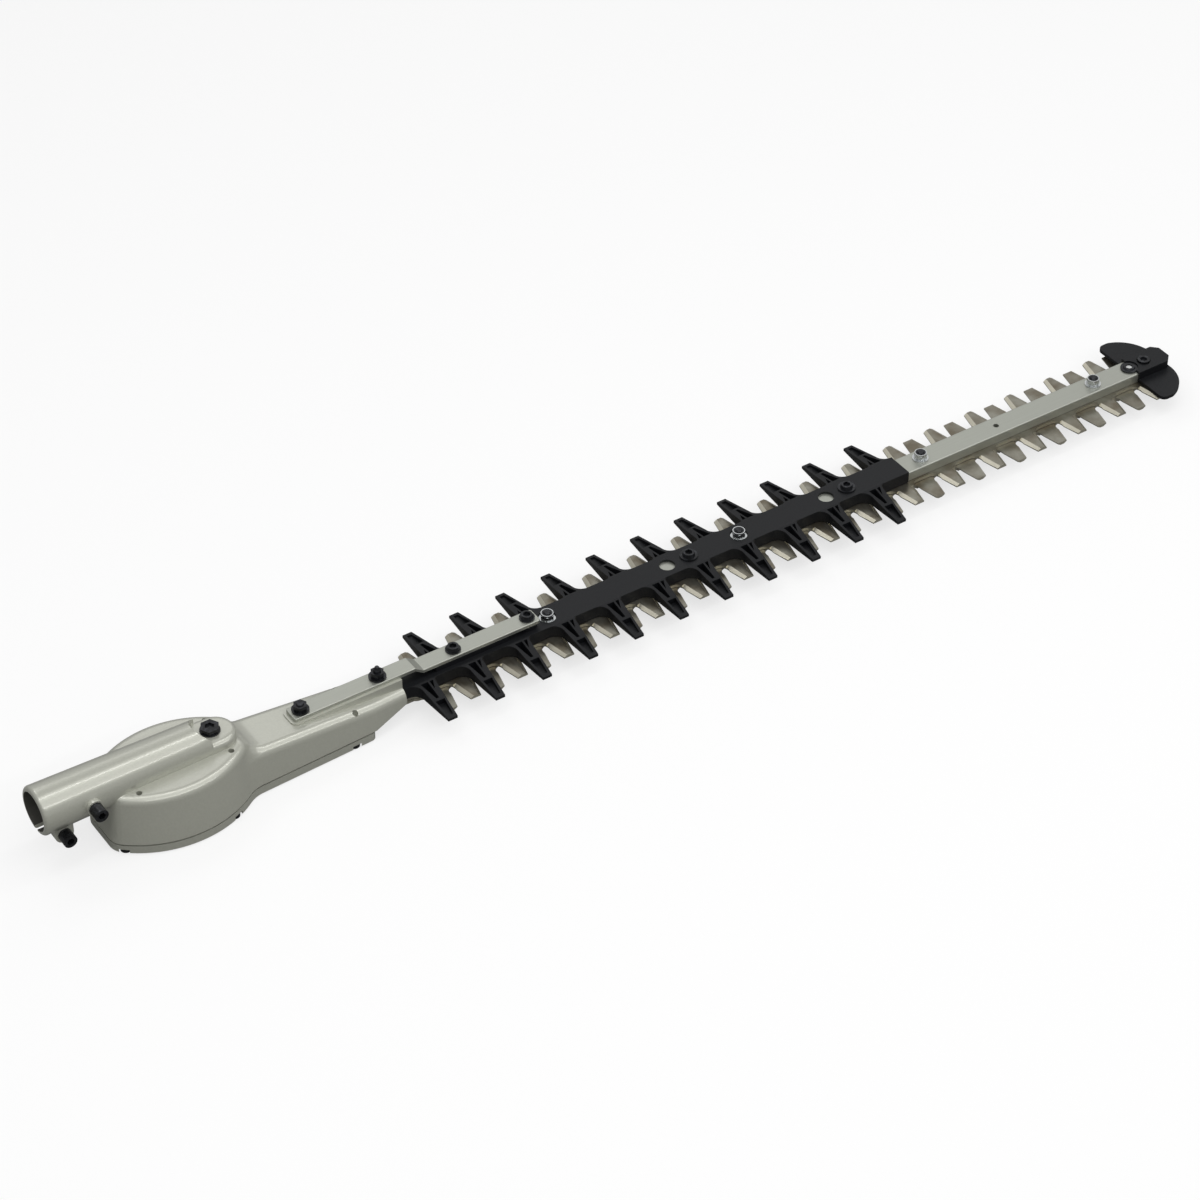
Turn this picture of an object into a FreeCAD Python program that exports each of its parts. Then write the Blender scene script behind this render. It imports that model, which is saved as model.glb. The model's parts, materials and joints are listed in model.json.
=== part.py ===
import FreeCAD, Part
import math
import os
from types import SimpleNamespace

import Sketcher

# Hedge trimmer head for a pole tool, in millimetres.
# The origin is the centre of the pole socket's mouth. +X runs along the blades to the tip, +Z is up.

SIZES = {
    # Pole socket: a tapered tube along X with a slit and a clamp screw under its mouth
    "pole_radius": 13.0,
    "socket_depth": 40.0,
    "mouth_radius": 16.1,
    "nose_radius": 13.8,
    "tube_length": 136.0,
    "mouth_round": 2.4,
    "slit_width": 4.2,
    "slit_length": 34.0,
    "clamp_x": 14.0,
    "clamp_drop": 18.7,
    "clamp_lug_radius": 6.2,
    "clamp_lug_half": 9.0,
    "locator_x": 32.0,
    "locator_boss_radius": 5.4,
    "locator_boss_reach": 18.0,
    "pole_screw_radius": 2.5,
    "pole_head_radius": 4.4,
    "pole_head_length": 8.0,
    # Blade pack: heights are stacked up and down from the plane between the two blades
    "blade_drop": 31.1,
    "blade_thickness": 2.2,
    "blade_gap": 0.3,
    "bar_gap": 0.2,
    "tooth_pitch": 35.0,
    "blade_tooth_lead": 7.0,
    "blade_tooth_reach": 29.7,
    "blade_tip_half": 3.7,
    "blade_root_half": 7.6,
    "blade_web_half": 10.2,
    "blade_gullet_round": 6.0,
    "bevel_width": 2.1,
    "bevel_depth": 1.3,
    "bevel_run_in": 2.5,
    "blade_setback": 4.0,
    "blade_tail_half": 8.8,
    "yoke_wall": 4.5,
    "yoke_corner": 10.0,
    "tunnel_clearance": 2.7,
    # Guide bar
    "bar_rear_margin": 9.8,
    "bar_length": 696.0,
    "bar_width": 17.0,
    "bar_height": 7.0,
    "bar_edge": 0.9,
    "bar_hole_back": 85.0,
    "bar_hole_radius": 2.0,
    # Blade bolts with bushes, in slots of the blades
    "bolt_lead": 8.7,
    "bolt_spacing": 150.0,
    "bolt_end_margin": 16.0,
    "bolt_radius": 2.5,
    "bush_radius": 4.5,
    "bush_slack": 0.35,
    "bolt_washer_radius": 8.0,
    "bolt_washer_thickness": 1.2,
    "bolt_head_radius": 5.0,
    "bolt_head_height": 2.8,
    "bolt_tail": 0.9,
    "bolt_point": 0.6,
    "nut_washer_radius": 5.6,
    "nut_washer_thickness": 0.8,
    "nut_corner_radius": 4.62,
    "nut_height": 3.2,
    "nut_collar_radius": 4.15,
    "nut_collar_height": 1.25,
    "insert_outer": 3.55,
    "insert_recess": 0.15,
    # Tooth guard over the bar
    "guard_rear_gap": 0.4,
    "guard_length": 395.6,
    "guard_skin": 1.8,
    "guard_half": 9.75,
    "guard_run": 0.55,
    "guard_tooth_lead": 15.6,
    "guard_tooth_reach": 42.0,
    "guard_tip_half": 3.35,
    "guard_root_half": 5.9,
    "guard_tip_height": 1.9,
    "guard_wide_round": 7.0,
    "guard_tight_round": 2.5,
    "guard_pocket_floor": 1.2,
    "guard_rim": 1.3,
    "guard_rib": 1.3,
    "guard_cross_rib": 26.0,
    "guard_window_lead": 17.0,
    "guard_window_radius": 5.4,
    "guard_rear_screw_lead": 110.0,
    "guard_screw_lead": 88.0,
    "guard_screw_margin": 40.0,
    "guard_pad_lead": 9.0,
    "guard_pad_length": 54.0,
    "guard_pad_half": 6.4,
    # Support plate: a strip with a joggle, bolted to the case neck and to the bar
    "plate_rise": 9.45,
    "plate_joggle": 4.0,
    "plate_thickness": 2.5,
    "plate_width": 12.6,
    "plate_rear_margin": 7.3,
    "plate_front_margin": 6.6,
    "joggle_lead": 11.0,
    "plate_joggle_run": 6.0,
    "plate_corner": 2.0,
    "plate_edge": 0.6,
    "stud_setback": 12.9,
    "plate_bolt_spacing": 55.3,
    "stud_radius": 2.5,
    "stud_head_radius": 5.0,
    "stud_head_height": 2.8,
    "rear_stud_tail": 0.8,
    "front_stud_tail": 3.6,
    "rear_stud_point": 0.6,
    "front_stud_point": 2.4,
    "stud_point_slope": 0.5,
    "flange_nut_radius": 5.7,
    "flange_nut_flange": 1.3,
    "flange_nut_corner": 4.62,
    "flange_nut_height": 4.9,
    "button_radius": 4.3,
    "button_top": 3.7,
    "plate_button_flange": 5.1,
    "guard_button_flange": 6.0,
    "button_flange_height": 1.0,
    "button_height": 2.3,
    "button_socket": 2.6,
    "button_socket_share": 0.83,
    "button_grip": 5.0,
    # Tip guard over the end of the bar
    "tip_lap": 21.0,
    "tip_overhang": 9.0,
    "tip_wing_reach": 35.5,
    "tip_wing_thickness": 2.5,
    "tip_wing_corner": 4.5,
    "tip_wing_setback": 2.0,
    "tip_wing_front_half": 10.65,
    "tip_shoulder_setback": 8.2,
    "tip_shoulder_half": 27.0,
    "tip_nose_cut": 4.5,
    "tip_rear_screw_back": 1.5,
    "tip_front_screw_lead": 11.5,
    "tip_counterbore": 4.9,
    "tip_button_height": 0.9,
    "tip_head_height": 2.1,
    "tip_socket_depth": 1.5,
    # Gear case: a chamber with drafted walls, and a neck in front of it
    "chamber_lead": 2.0,
    "chamber_reach": 50.15,
    "chamber_half": 37.65,
    "chamber_sweep": 70.0,
    "chamber_corner": 12.6,
    "chamber_round": 6.0,
    "shelf_drop": 1.6,
    "wall_draft": 0.147,
    "case_wall": 3.5,
    "case_roof": 2.5,
    "neck_root_lead": 27.0,
    "neck_root_half": 22.65,
    "neck_straight": 107.0,
    "neck_bend_half": 18.05,
    "neck_nose": 25.0,
    "neck_front_half": 14.65,
    "neck_root_drop": 9.0,
    "neck_front_drop": 18.7,
    "neck_round": 6.5,
    "neck_blend": 20.0,
    "neck_undercut": 7.0,
    "pad_margin": 2.0,
    "pad_corner": 4.5,
    "cover_gap": 1.4,
    "cover_thickness": 6.3,
    "cover_edge": 0.8,
    "cover_corner": 4.0,
    "gasket_thickness": 1.1,
    "gasket_inset": 2.0,
    "cover_screw_radius": 2.0,
    "cover_head_radius": 3.6,
    "cover_head_height": 3.0,
    "cover_notch_radius": 5.0,
    "cover_notch_depth": 3.2,
    "cover_screw_grip": 8.0,
    "cover_boss_radius": 4.5,
    "cover_boss_cap": 3.0,
    "rear_screw_back": 42.7,
    "rear_screw_y": 18.1,
    "mid_screw_lead": 26.0,
    "mid_screw_y": 28.6,
    "front_screw_setback": 15.0,
    "front_screw_y": 14.8,
    "vent_radius": 1.9,
    "vent_depth": 5.5,
    "vent_boss_radius": 4.0,
    "vent_boss_cap": 2.0,
    "rear_vent_back": 30.5,
    "rear_vent_y": 18.8,
    "front_vent_lead": 33.5,
    "front_vent_y": 16.6,
    "neck_hole_setback": 12.5,
    "neck_hole_y": 13.7,
    "neck_hole_depth": 1.7,
    "plug_setback": 16.5,
    "plug_seat": 4.8,
    "plug_spot_radius": 12.7,
    "plug_land_back": 5.0,
    "plug_land_round": 4.4,
    "plug_flange_radius": 6.5,
    "plug_flange_height": 0.9,
    "plug_corner_radius": 6.3,
    "plug_head_height": 2.9,
    "plug_thread_radius": 4.0,
    "plug_thread_length": 7.0,
    # Drive: bevel pinion on the pole axis, bevel gear and two eccentrics on the upright crankshaft
    "crank_x": 89.0,
    "gear_module": 1.3,
    "pinion_teeth": 14,
    "gear_teeth": 40,
    "gear_face": 7.0,
    "gear_backlash": 0.3,
    "bearing_bore": 5.0,
    "bearing_outer": 11.0,
    "bearing_width": 6.0,
    "bearing_groove": 0.6,
    "bearing_fit": 0.05,
    "shaft_fit": 0.04,
    "bearing_setback": 3.5,
    "bearing_spacer": 1.5,
    "circlip_thickness": 1.0,
    "circlip_depth": 0.7,
    "circlip_ring": 2.2,
    "drive_square": 5.4,
    "drive_depth": 14.0,
    "foot_bore": 4.0,
    "foot_outer": 8.0,
    "foot_width": 4.0,
    "gear_seat_radius": 6.5,
    "gear_hub_radius": 10.5,
    "gear_web": 3.0,
    "eccentric_radius": 12.0,
    "yoke_slack": 2.0,
    # Small clearances
    "screw_gap": 0.25,
    "thread_gap": 0.05,
    "side_gap": 0.15,
    "run_gap": 0.3,
}

doc = FreeCAD.newDocument("hedge_trimmer_head")
sheet = doc.addObject("Spreadsheet::Sheet", "sizes")
for row, (alias, number) in enumerate(SIZES.items(), start=1):
    sheet.set(f"A{row}", alias)
    sheet.set(f"B{row}", str(number))
    sheet.setAlias(f"B{row}", alias)
doc.recompute()


class Size:
    """A length that keeps its number and the sheet expression it comes from."""

    def __init__(self, number, text):
        self.number = number
        self.text = text

    def __float__(self):
        return float(self.number)

    def __str__(self):
        return self.text

    def __add__(self, other):
        return Size(float(self) + float(other), f"({self} + {other})")

    def __sub__(self, other):
        return Size(float(self) - float(other), f"({self} - {other})")

    def __mul__(self, other):
        return Size(float(self) * float(other), f"({self} * {other})")

    def __truediv__(self, other):
        return Size(float(self) / float(other), f"({self} / {other})")

    def __neg__(self):
        return Size(-float(self), f"(0 - {self})")


# d holds the bound sizes, v the plain numbers that the sheet gives
d = SimpleNamespace(**{name: Size(float(sheet.get(name)), f"sizes.{name}") for name in SIZES})
v = SimpleNamespace(**{name: float(sheet.get(name)) for name in SIZES})

X_AXIS = FreeCAD.Vector(1, 0, 0)
Y_AXIS = FreeCAD.Vector(0, 1, 0)
Z_AXIS = FreeCAD.Vector(0, 0, 1)
EXTRA = 20.0  # how far cutting tools reach past what they cut

# Levels of the blade pack, from the pole axis at zero
upper_bottom = -d.blade_drop + d.blade_gap / 2
upper_top = upper_bottom + d.blade_thickness
lower_top = -d.blade_drop - d.blade_gap / 2
lower_bottom = lower_top - d.blade_thickness
bar_bottom = upper_top + d.bar_gap
bar_top = bar_bottom + d.bar_height
spine_top = bar_top + d.guard_skin
skirt_bottom = upper_top + d.guard_run
plate_seat = bar_top + d.plate_rise
plate_top = plate_seat + d.plate_thickness
plate_low_seat = plate_seat - d.plate_joggle
plate_low_top = plate_top - d.plate_joggle
bush_bottom = lower_bottom - d.bush_slack
case_bottom = lower_bottom - d.cover_gap
cover_top = case_bottom - d.gasket_thickness
cover_bottom = cover_top - d.cover_thickness
cover_seat = cover_bottom + d.cover_notch_depth

stroke = v.tooth_pitch / 4  # each blade moves this far to both sides of the rest position


def fitting_count(first, last, spacing):
    """How many evenly spaced places fit from the first one up to a limit."""
    return int((float(last) - float(first)) // float(spacing)) + 1


# Places along X, each taken from the one that it follows
chamber_x = d.crank_x + d.chamber_lead
neck_root_x = chamber_x + d.neck_root_lead
neck_bend_x = neck_root_x + d.neck_straight
neck_front = neck_bend_x + d.neck_nose
rear_bearing_x = d.socket_depth + d.bearing_setback
front_bearing_x = rear_bearing_x + d.bearing_width + d.bearing_spacer
plug_x = d.tube_length - d.plug_setback
front_stud_x = neck_front - d.stud_setback
stud_spots = [front_stud_x - d.plate_bolt_spacing, front_stud_x]
plate_screw_spots = [front_stud_x + d.plate_bolt_spacing, front_stud_x + d.plate_bolt_spacing * 2]
plate_rear = stud_spots[0] - d.plate_rear_margin
plate_end = plate_screw_spots[1] + d.plate_front_margin
joggle_rear = neck_front + d.joggle_lead
joggle_front = joggle_rear + d.plate_joggle_run
bar_rear = stud_spots[0] - d.bar_rear_margin
bar_end = bar_rear + d.bar_length
blade_end = bar_end - d.blade_setback
guard_rear = neck_front + d.guard_rear_gap
guard_end = guard_rear + d.guard_length
guard_tooth_first = float(guard_rear + d.guard_tooth_lead)
blade_tooth_first = guard_tooth_first + v.blade_tooth_lead
tip_rear = bar_end - d.tip_lap
tip_front = bar_end + d.tip_overhang
tip_rear_screw_x = tip_rear - d.tip_rear_screw_back
tip_front_screw_x = tip_rear + d.tip_front_screw_lead
bolt_first = plate_end + d.bolt_lead
bolt_count = fitting_count(bolt_first, tip_rear - d.bolt_end_margin, d.bolt_spacing)
bolt_spots = [bolt_first + d.bolt_spacing * i for i in range(bolt_count)]
guarded_bolts = [spot for spot in bolt_spots if float(spot) < float(guard_end)]
guard_screw_limit = guard_end - d.guard_screw_margin
guard_screw_places = [bolt_first + d.guard_rear_screw_lead]
guard_screw_places += [spot + d.guard_screw_lead for spot in guarded_bolts[1:]]
guard_screw_spots = [spot for spot in guard_screw_places if float(spot) < float(guard_screw_limit)]
guard_window_spots = [spot - d.guard_window_lead for spot in guard_screw_spots]
bar_hole_x = bolt_spots[-1] - d.bar_hole_back
cover_screw_spots = [
    (float(x), side * y)
    for x, y in (
        (chamber_x - d.rear_screw_back, v.rear_screw_y),
        (chamber_x + d.mid_screw_lead, v.mid_screw_y),
        (neck_bend_x - d.front_screw_setback, v.front_screw_y),
    )
    for side in (-1, 1)
]
vent_spots = [
    (float(x), side * y)
    for x, y in (
        (chamber_x - d.rear_vent_back, v.rear_vent_y),
        (chamber_x + d.front_vent_lead, v.front_vent_y),
    )
    for side in (-1, 1)
]
sub_parts = []


# Shared helpers

def point(x, y, z):
    return FreeCAD.Vector(float(x), float(y), float(z))


def block(x_span, y_span, z_span):
    """Box between two corners, given as spans along X, Y and Z."""
    low = point(x_span[0], y_span[0], z_span[0])
    high = point(x_span[1], y_span[1], z_span[1])
    return Part.makeBox(high.x - low.x, high.y - low.y, high.z - low.z, low)


def rod(radius, start, end):
    """Round bar between two points."""
    run = end - start
    return Part.makeCylinder(float(radius), run.Length, start, run)


def upright(radius, x, y, low, high):
    """Round bar along Z."""
    return rod(radius, point(x, y, low), point(x, y, high))


def arc(centre, radius, start, end, level):
    """Arc edge in a level plane, from one angle to another."""
    angles = (start, (start + end) / 2, end)
    spots = [
        point(centre[0] + radius * math.cos(a), centre[1] + radius * math.sin(a), level) for a in angles
    ]
    return Part.Arc(*spots).toShape()


def outline(points):
    """Flat face inside a closed run of points."""
    return Part.Face(Part.makePolygon(points + points[:1]))


def extruded(face, height):
    return face.extrude(point(0, 0, height))


def mirrored(shape):
    """Copy on the other side of the plane of symmetry."""
    return shape.mirror(point(0, 0, 0), Y_AXIS)


def fixed(name, shape):
    """Sub-part whose shape is set from the sheet's numbers."""
    item = doc.addObject("Part::Feature", name)
    item.Label = name
    item.Shape = shape
    item.Placement = FreeCAD.Placement()
    sub_parts.append(item)
    return item


def copies(name, pattern, spots):
    """Sub-part that holds one copy of a fastener at each (x, y, z) spot."""
    doc.recompute()
    shapes = [pattern.Shape.copy() for _ in spots]
    for shape, spot in zip(shapes, spots):
        shape.translate(point(*spot))
    return fixed(name, Part.makeCompound(shapes))


def finished(item, name):
    """Register a bound document object as a sub-part."""
    item.Label = name
    sub_parts.append(item)
    return item


def bind(item, **bound):
    """Bind properties of an object to sheet expressions."""
    for name, size in bound.items():
        item.setExpression(name, str(size))


def placed(item, spot, along=Z_AXIS):
    """Put a primitive with its own Z along an axis, its base bound to the sheet."""
    item.Placement = FreeCAD.Placement(point(0, 0, 0), FreeCAD.Rotation(Z_AXIS, along))
    for axis, size in zip("xyz", spot):
        item.setExpression(f"Placement.Base.{axis}", str(size))
    return item


def cylinder(name, radius, height, spot, along=Z_AXIS):
    item = doc.addObject("Part::Cylinder", name)
    bind(item, Radius=radius, Height=height)
    return placed(item, spot, along)


def cone(name, low_radius, high_radius, height, spot, along=Z_AXIS):
    item = doc.addObject("Part::Cone", name)
    bind(item, Radius1=low_radius, Radius2=high_radius, Height=height)
    return placed(item, spot, along)


def hexagon(name, corner_radius, height, spot, along=Z_AXIS):
    item = doc.addObject("Part::Prism", name)
    item.Polygon = 6
    bind(item, Circumradius=corner_radius, Height=height)
    return placed(item, spot, along)


def joined(name, items):
    item = doc.addObject("Part::MultiFuse", name)
    item.Shapes = items
    return item


def carved(name, base, tool):
    item = doc.addObject("Part::Cut", name)
    item.Base = base
    item.Tool = tool
    return item


def origin_plane(body, role):
    return next(item for item in body.Origin.OriginFeatures if item.Role == role)


def sketch_on(body, name, role):
    sketch = body.newObject("Sketcher::SketchObject", name)
    sketch.AttachmentSupport = [(origin_plane(body, role), "")]
    sketch.MapMode = "FlatFace"
    return sketch


def bound_constraint(sketch, size, *what):
    """Dimension of a sketch that follows a sheet expression."""
    index = sketch.addConstraint(Sketcher.Constraint(*what, float(size)))
    sketch.setExpression(f"Constraints[{index}]", str(size))


def bound_profile(sketch, corners):
    """Closed profile of straight lines with every corner bound to the sheet."""
    spots = [point(across, up, 0) for across, up in corners]
    for start, end in zip(spots, spots[1:] + spots[:1]):
        sketch.addGeometry(Part.LineSegment(start, end))
    count = len(spots)
    for index in range(count):
        sketch.addConstraint(Sketcher.Constraint("Coincident", index, 2, (index + 1) % count, 1))
    for index, (across, up) in enumerate(corners):
        bound_constraint(sketch, across, "DistanceX", -1, 1, index, 1)
        bound_constraint(sketch, up, "DistanceY", -1, 1, index, 1)


def bound_circles(sketch, spots, radius):
    """Circles along the sketch's X axis with bound places and radius."""
    for spot in spots:
        index = sketch.addGeometry(Part.Circle(point(spot, 0, 0), Z_AXIS, float(radius)))
        sketch.addConstraint(Sketcher.Constraint("PointOnObject", index, 3, -1))
        bound_constraint(sketch, spot, "DistanceX", -1, 1, index, 3)
        bound_constraint(sketch, radius, "Radius", index)


def drilled(body, name, spots, radius):
    """Round holes along the body's X axis, through the whole body."""
    sketch = sketch_on(body, f"{name}_places", "XY_Plane")
    bound_circles(sketch, spots, radius)
    doc.recompute()
    before = body.Shape.Volume
    hole = body.newObject("PartDesign::Pocket", name)
    hole.Profile = sketch
    hole.Type = "ThroughAll"
    hole.Midplane = True
    doc.recompute()
    assert body.Shape.Volume < before, name
    return hole


# Gear case

def draft_at(level):
    """How far the drafted walls have drawn in at a level."""
    return v.wall_draft * (float(level) - float(case_bottom))


def chamber_wire(inset, level):
    """Chamber outline: two flat ends, four corners and two wide side arcs."""
    side_y = v.chamber_half - v.chamber_sweep
    corner_x = v.chamber_reach - v.chamber_corner
    corner_y = side_y + math.sqrt((v.chamber_sweep - v.chamber_corner) ** 2 - corner_x**2)
    turn = math.atan2(corner_y - side_y, corner_x)
    centre, full = float(chamber_x), math.pi
    corner, sweep, reach = v.chamber_corner - inset, v.chamber_sweep - inset, v.chamber_reach - inset
    edges = [
        Part.makeLine(point(centre + reach, -corner_y, level), point(centre + reach, corner_y, level)),
        arc((centre + corner_x, corner_y), corner, 0, turn, level),
        arc((centre, side_y), sweep, turn, full - turn, level),
        arc((centre - corner_x, corner_y), corner, full - turn, full, level),
        Part.makeLine(point(centre - reach, corner_y, level), point(centre - reach, -corner_y, level)),
        arc((centre - corner_x, -corner_y), corner, full, full + turn, level),
        arc((centre, -side_y), sweep, full + turn, 2 * full - turn, level),
        arc((centre + corner_x, -corner_y), corner, 2 * full - turn, 2 * full, level),
    ]
    return Part.Wire(edges)


def chamber_solid(inset, low, high):
    wires = [chamber_wire(inset + draft_at(level), level) for level in (low, high)]
    return Part.makeLoft(wires, True, True)


def neck_level(x):
    """Height of the neck's sloping top."""
    share = (x - float(neck_root_x)) / float(neck_front - neck_root_x)
    return -v.neck_root_drop - share * (v.neck_front_drop - v.neck_root_drop)


def neck_solid():
    """Neck with drafted sides and a sloping top, rounded along its top edges."""
    stations = [
        (float(neck_root_x), v.neck_root_half),
        (float(neck_bend_x), v.neck_bend_half),
        (float(neck_front), v.neck_front_half),
    ]
    lows, highs = {}, {}
    for side in (-1, 1):
        lows[side] = [point(x, side * half, case_bottom) for x, half in stations]
        highs[side] = [
            point(x, side * (half - draft_at(neck_level(x))), neck_level(x)) for x, half in stations
        ]
    faces = [outline(row[1] + row[-1][::-1]) for row in (lows, highs)]
    for side in (-1, 1):
        low, high = lows[side], highs[side]
        for i in range(len(stations) - 1):
            faces.append(outline([low[i], low[i + 1], high[i + 1], high[i]]))
    for end in (0, -1):
        faces.append(outline([lows[1][end], highs[1][end], highs[-1][end], lows[-1][end]]))
    solid = Part.Solid(Part.Shell(faces))
    ridges = [
        edge
        for edge in solid.Edges
        if all(abs(p.Z - neck_level(p.X)) < 1e-6 for p in edge.Vertexes)
        and abs(edge.Vertexes[0].X - edge.Vertexes[1].X) > 1
    ]
    return solid.makeFillet(v.neck_round, ridges)


def level_edges(shape, level):
    """Edges that lie in one level plane."""
    return [e for e in shape.Edges if all(abs(p.Z - float(level)) < 1e-6 for p in e.Vertexes)]


def meeting_edges(shape, first, second, floor):
    """Edges of a fused shape where its two halves met, above a floor."""
    found = []
    for edge in shape.Edges:
        middle = edge.valueAt((edge.FirstParameter + edge.LastParameter) / 2)
        spot = Part.Vertex(middle)
        touching = all(spot.distToShape(half.Shells[0])[0] < 1e-4 for half in (first, second))
        if touching and middle.z > float(floor) + 1e-3:
            found.append(edge)
    return found


def case_block():
    """Chamber and neck in one piece with the casting's rounds, still solid inside."""
    shelf = -v.shelf_drop
    chamber = chamber_solid(0, case_bottom, shelf)
    chamber = chamber.makeFillet(v.chamber_round, level_edges(chamber, shelf))
    neck = neck_solid()
    both = chamber.fuse(neck)
    return both.makeFillet(v.neck_blend, meeting_edges(both, chamber, neck, case_bottom))


def tube_solid():
    """Tapered tube with a ball-shaped nose, turned about the pole axis."""
    straight = v.tube_length - v.nose_radius
    slope = (v.nose_radius - v.mouth_radius) / straight
    lip = v.mouth_round
    lip_radius = v.mouth_radius + slope * lip
    middle = math.sin(math.pi / 4)
    edges = [
        Part.makeLine(point(0, 0, 0), point(0, 0, lip_radius - lip)),
        Part.Arc(
            point(0, 0, lip_radius - lip),
            point(lip - lip * middle, 0, lip_radius - lip + lip * middle),
            point(lip, 0, lip_radius),
        ).toShape(),
        Part.makeLine(point(lip, 0, lip_radius), point(straight, 0, v.nose_radius)),
        Part.Arc(
            point(straight, 0, v.nose_radius),
            point(straight + v.nose_radius * middle, 0, v.nose_radius * middle),
            point(v.tube_length, 0, 0),
        ).toShape(),
        Part.makeLine(point(v.tube_length, 0, 0), point(0, 0, 0)),
    ]
    tube = Part.Face(Part.Wire(edges)).revolve(point(0, 0, 0), X_AXIS, 360)
    return nose_seat(tube)


def nose_seat(tube):
    """Flat seat for the filler plug, milled into the nose and rounded along its front."""
    level = v.plug_seat
    land_rear = float(plug_x) - v.plug_land_back
    nose = tube.cut(block((land_rear, v.tube_length + 1), (-EXTRA, EXTRA), (level, level + EXTRA)))
    brim = [e for e in level_edges(nose, level) if max(p.X for p in e.Vertexes) > land_rear + 1]
    nose = nose.makeFillet(v.plug_land_round, brim)
    return nose.cut(upright(v.plug_spot_radius, plug_x, 0, level, level + EXTRA))


def clamp_lug():
    """Round lug under the tube's mouth, with a web up to the tube."""
    x, z, half = v.clamp_x, -v.clamp_drop, v.clamp_lug_half
    lug = rod(v.clamp_lug_radius, point(x, -half, z), point(x, half, z))
    web = block(
        (x - v.clamp_lug_radius, x + v.clamp_lug_radius), (-half, half), (z, -v.pole_radius + 1)
    )
    return lug.fuse(web)


def plate_pad():
    """Raised seat for the support plate on top of the neck."""
    half = v.plate_width / 2 + v.pad_margin
    rear = float(plate_rear - d.pad_margin)
    pad = block((rear, neck_front), (-half, half), (bar_top, plate_seat))
    corners = [
        e
        for e in pad.Edges
        if all(abs(p.X - rear) < 1e-6 for p in e.Vertexes) and abs(e.Vertexes[0].Z - e.Vertexes[1].Z) > 1
    ]
    return pad.makeFillet(v.pad_corner, corners)


def gear_case_outside(shell):
    tube = tube_solid()
    boss = rod(v.locator_boss_radius, point(v.locator_x, 0, 0), point(v.locator_x, -v.locator_boss_reach, 0))
    return shell.multiFuse([tube, clamp_lug(), boss, plate_pad()]).removeSplitter()


def gear_case_hollows():
    """Everything that is cut out of the casting."""
    roof = -v.shelf_drop - v.case_roof
    tools = [chamber_solid(v.case_wall, float(case_bottom) - EXTRA, roof)]
    # Pole bore, then the bearing bore with its circlip groove, open to the gear chamber
    bearing_bore = v.bearing_outer + v.bearing_fit
    clip_x = rear_bearing_x - d.circlip_thickness
    tools.append(rod(v.pole_radius, point(-EXTRA, 0, 0), point(v.socket_depth, 0, 0)))
    tools.append(rod(bearing_bore, point(0, 0, 0), point(v.crank_x - bearing_bore, 0, 0)))
    groove = bearing_bore + v.circlip_depth
    tools.append(rod(groove, point(clip_x - v.bearing_fit, 0, 0), point(rear_bearing_x, 0, 0)))
    # Upper crank bearing
    tools.append(upright(bearing_bore, v.crank_x, 0, roof - 1, crank_bearing_top))
    # Blade tunnel and bar channel through the neck
    tools.append(
        block((v.crank_x, neck_front + EXTRA), (-tunnel_half, tunnel_half),
              (case_bottom - EXTRA, upper_top + d.run_gap))
    )
    bar_half = v.bar_width / 2 + v.side_gap
    tools.append(
        block((bar_rear - v.side_gap, neck_front + EXTRA), (-bar_half, bar_half),
              (case_bottom - EXTRA, bar_top))
    )
    # Slit of the clamp, and the two pole screws
    slit_half = v.slit_width / 2
    tools.append(
        block((-EXTRA, v.slit_length), (-slit_half, slit_half),
              (-v.clamp_drop - 2 * v.clamp_lug_radius, 0))
    )
    screw = v.pole_screw_radius + v.screw_gap
    tools.append(
        rod(screw, point(v.clamp_x, -EXTRA, -v.clamp_drop), point(v.clamp_x, EXTRA, -v.clamp_drop))
    )
    tools.append(rod(screw, point(v.locator_x, -2 * EXTRA, 0), point(v.locator_x, 0, 0)))
    # Thread of the filler plug, small holes in the neck
    tools.append(upright(v.plug_thread_radius + v.thread_gap, plug_x, 0, roof - 1, v.plug_seat + 1))
    hole_x = float(neck_bend_x - d.neck_hole_setback)
    low = neck_level(hole_x) - v.neck_round / 2 - v.neck_hole_depth
    for side in (-1, 1):
        tools.append(upright(v.vent_radius, hole_x, side * v.neck_hole_y, low, EXTRA))
    # Plate studs
    for spot in stud_spots:
        tools.append(upright(v.stud_radius + v.screw_gap, spot, 0, bar_bottom, plate_top))
    # Slanting undercut below the front of the neck
    low, front, bend = float(case_bottom), float(neck_front), float(neck_bend_x)
    corners = [(bend, low), (front, low + v.neck_undercut), (front + EXTRA, low + v.neck_undercut),
               (front + EXTRA, low - EXTRA), (bend, low - EXTRA)]
    wedge = outline([point(x, -2 * EXTRA, z) for x, z in corners])
    tools.append(wedge.extrude(point(0, 4 * EXTRA, 0)))
    return tools


def cover_bosses(shell):
    """Screw bosses inside the chamber, kept within the casting."""
    top = case_bottom + d.cover_screw_grip + d.cover_boss_cap
    posts = [upright(v.cover_boss_radius, x, y, case_bottom, top) for x, y in cover_screw_spots]
    return [post.common(shell) for post in posts]


def vent_posts(radius, depth, rise):
    """Upright bars at the shelf's small holes, from a depth below the shelf to a rise above it."""
    shelf = -v.shelf_drop
    return [upright(radius, x, y, shelf - depth, shelf + rise) for x, y in vent_spots]


def cover_screw_holes(radius, low, high):
    return [upright(radius, x, y, low, high) for x, y in cover_screw_spots]


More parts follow.
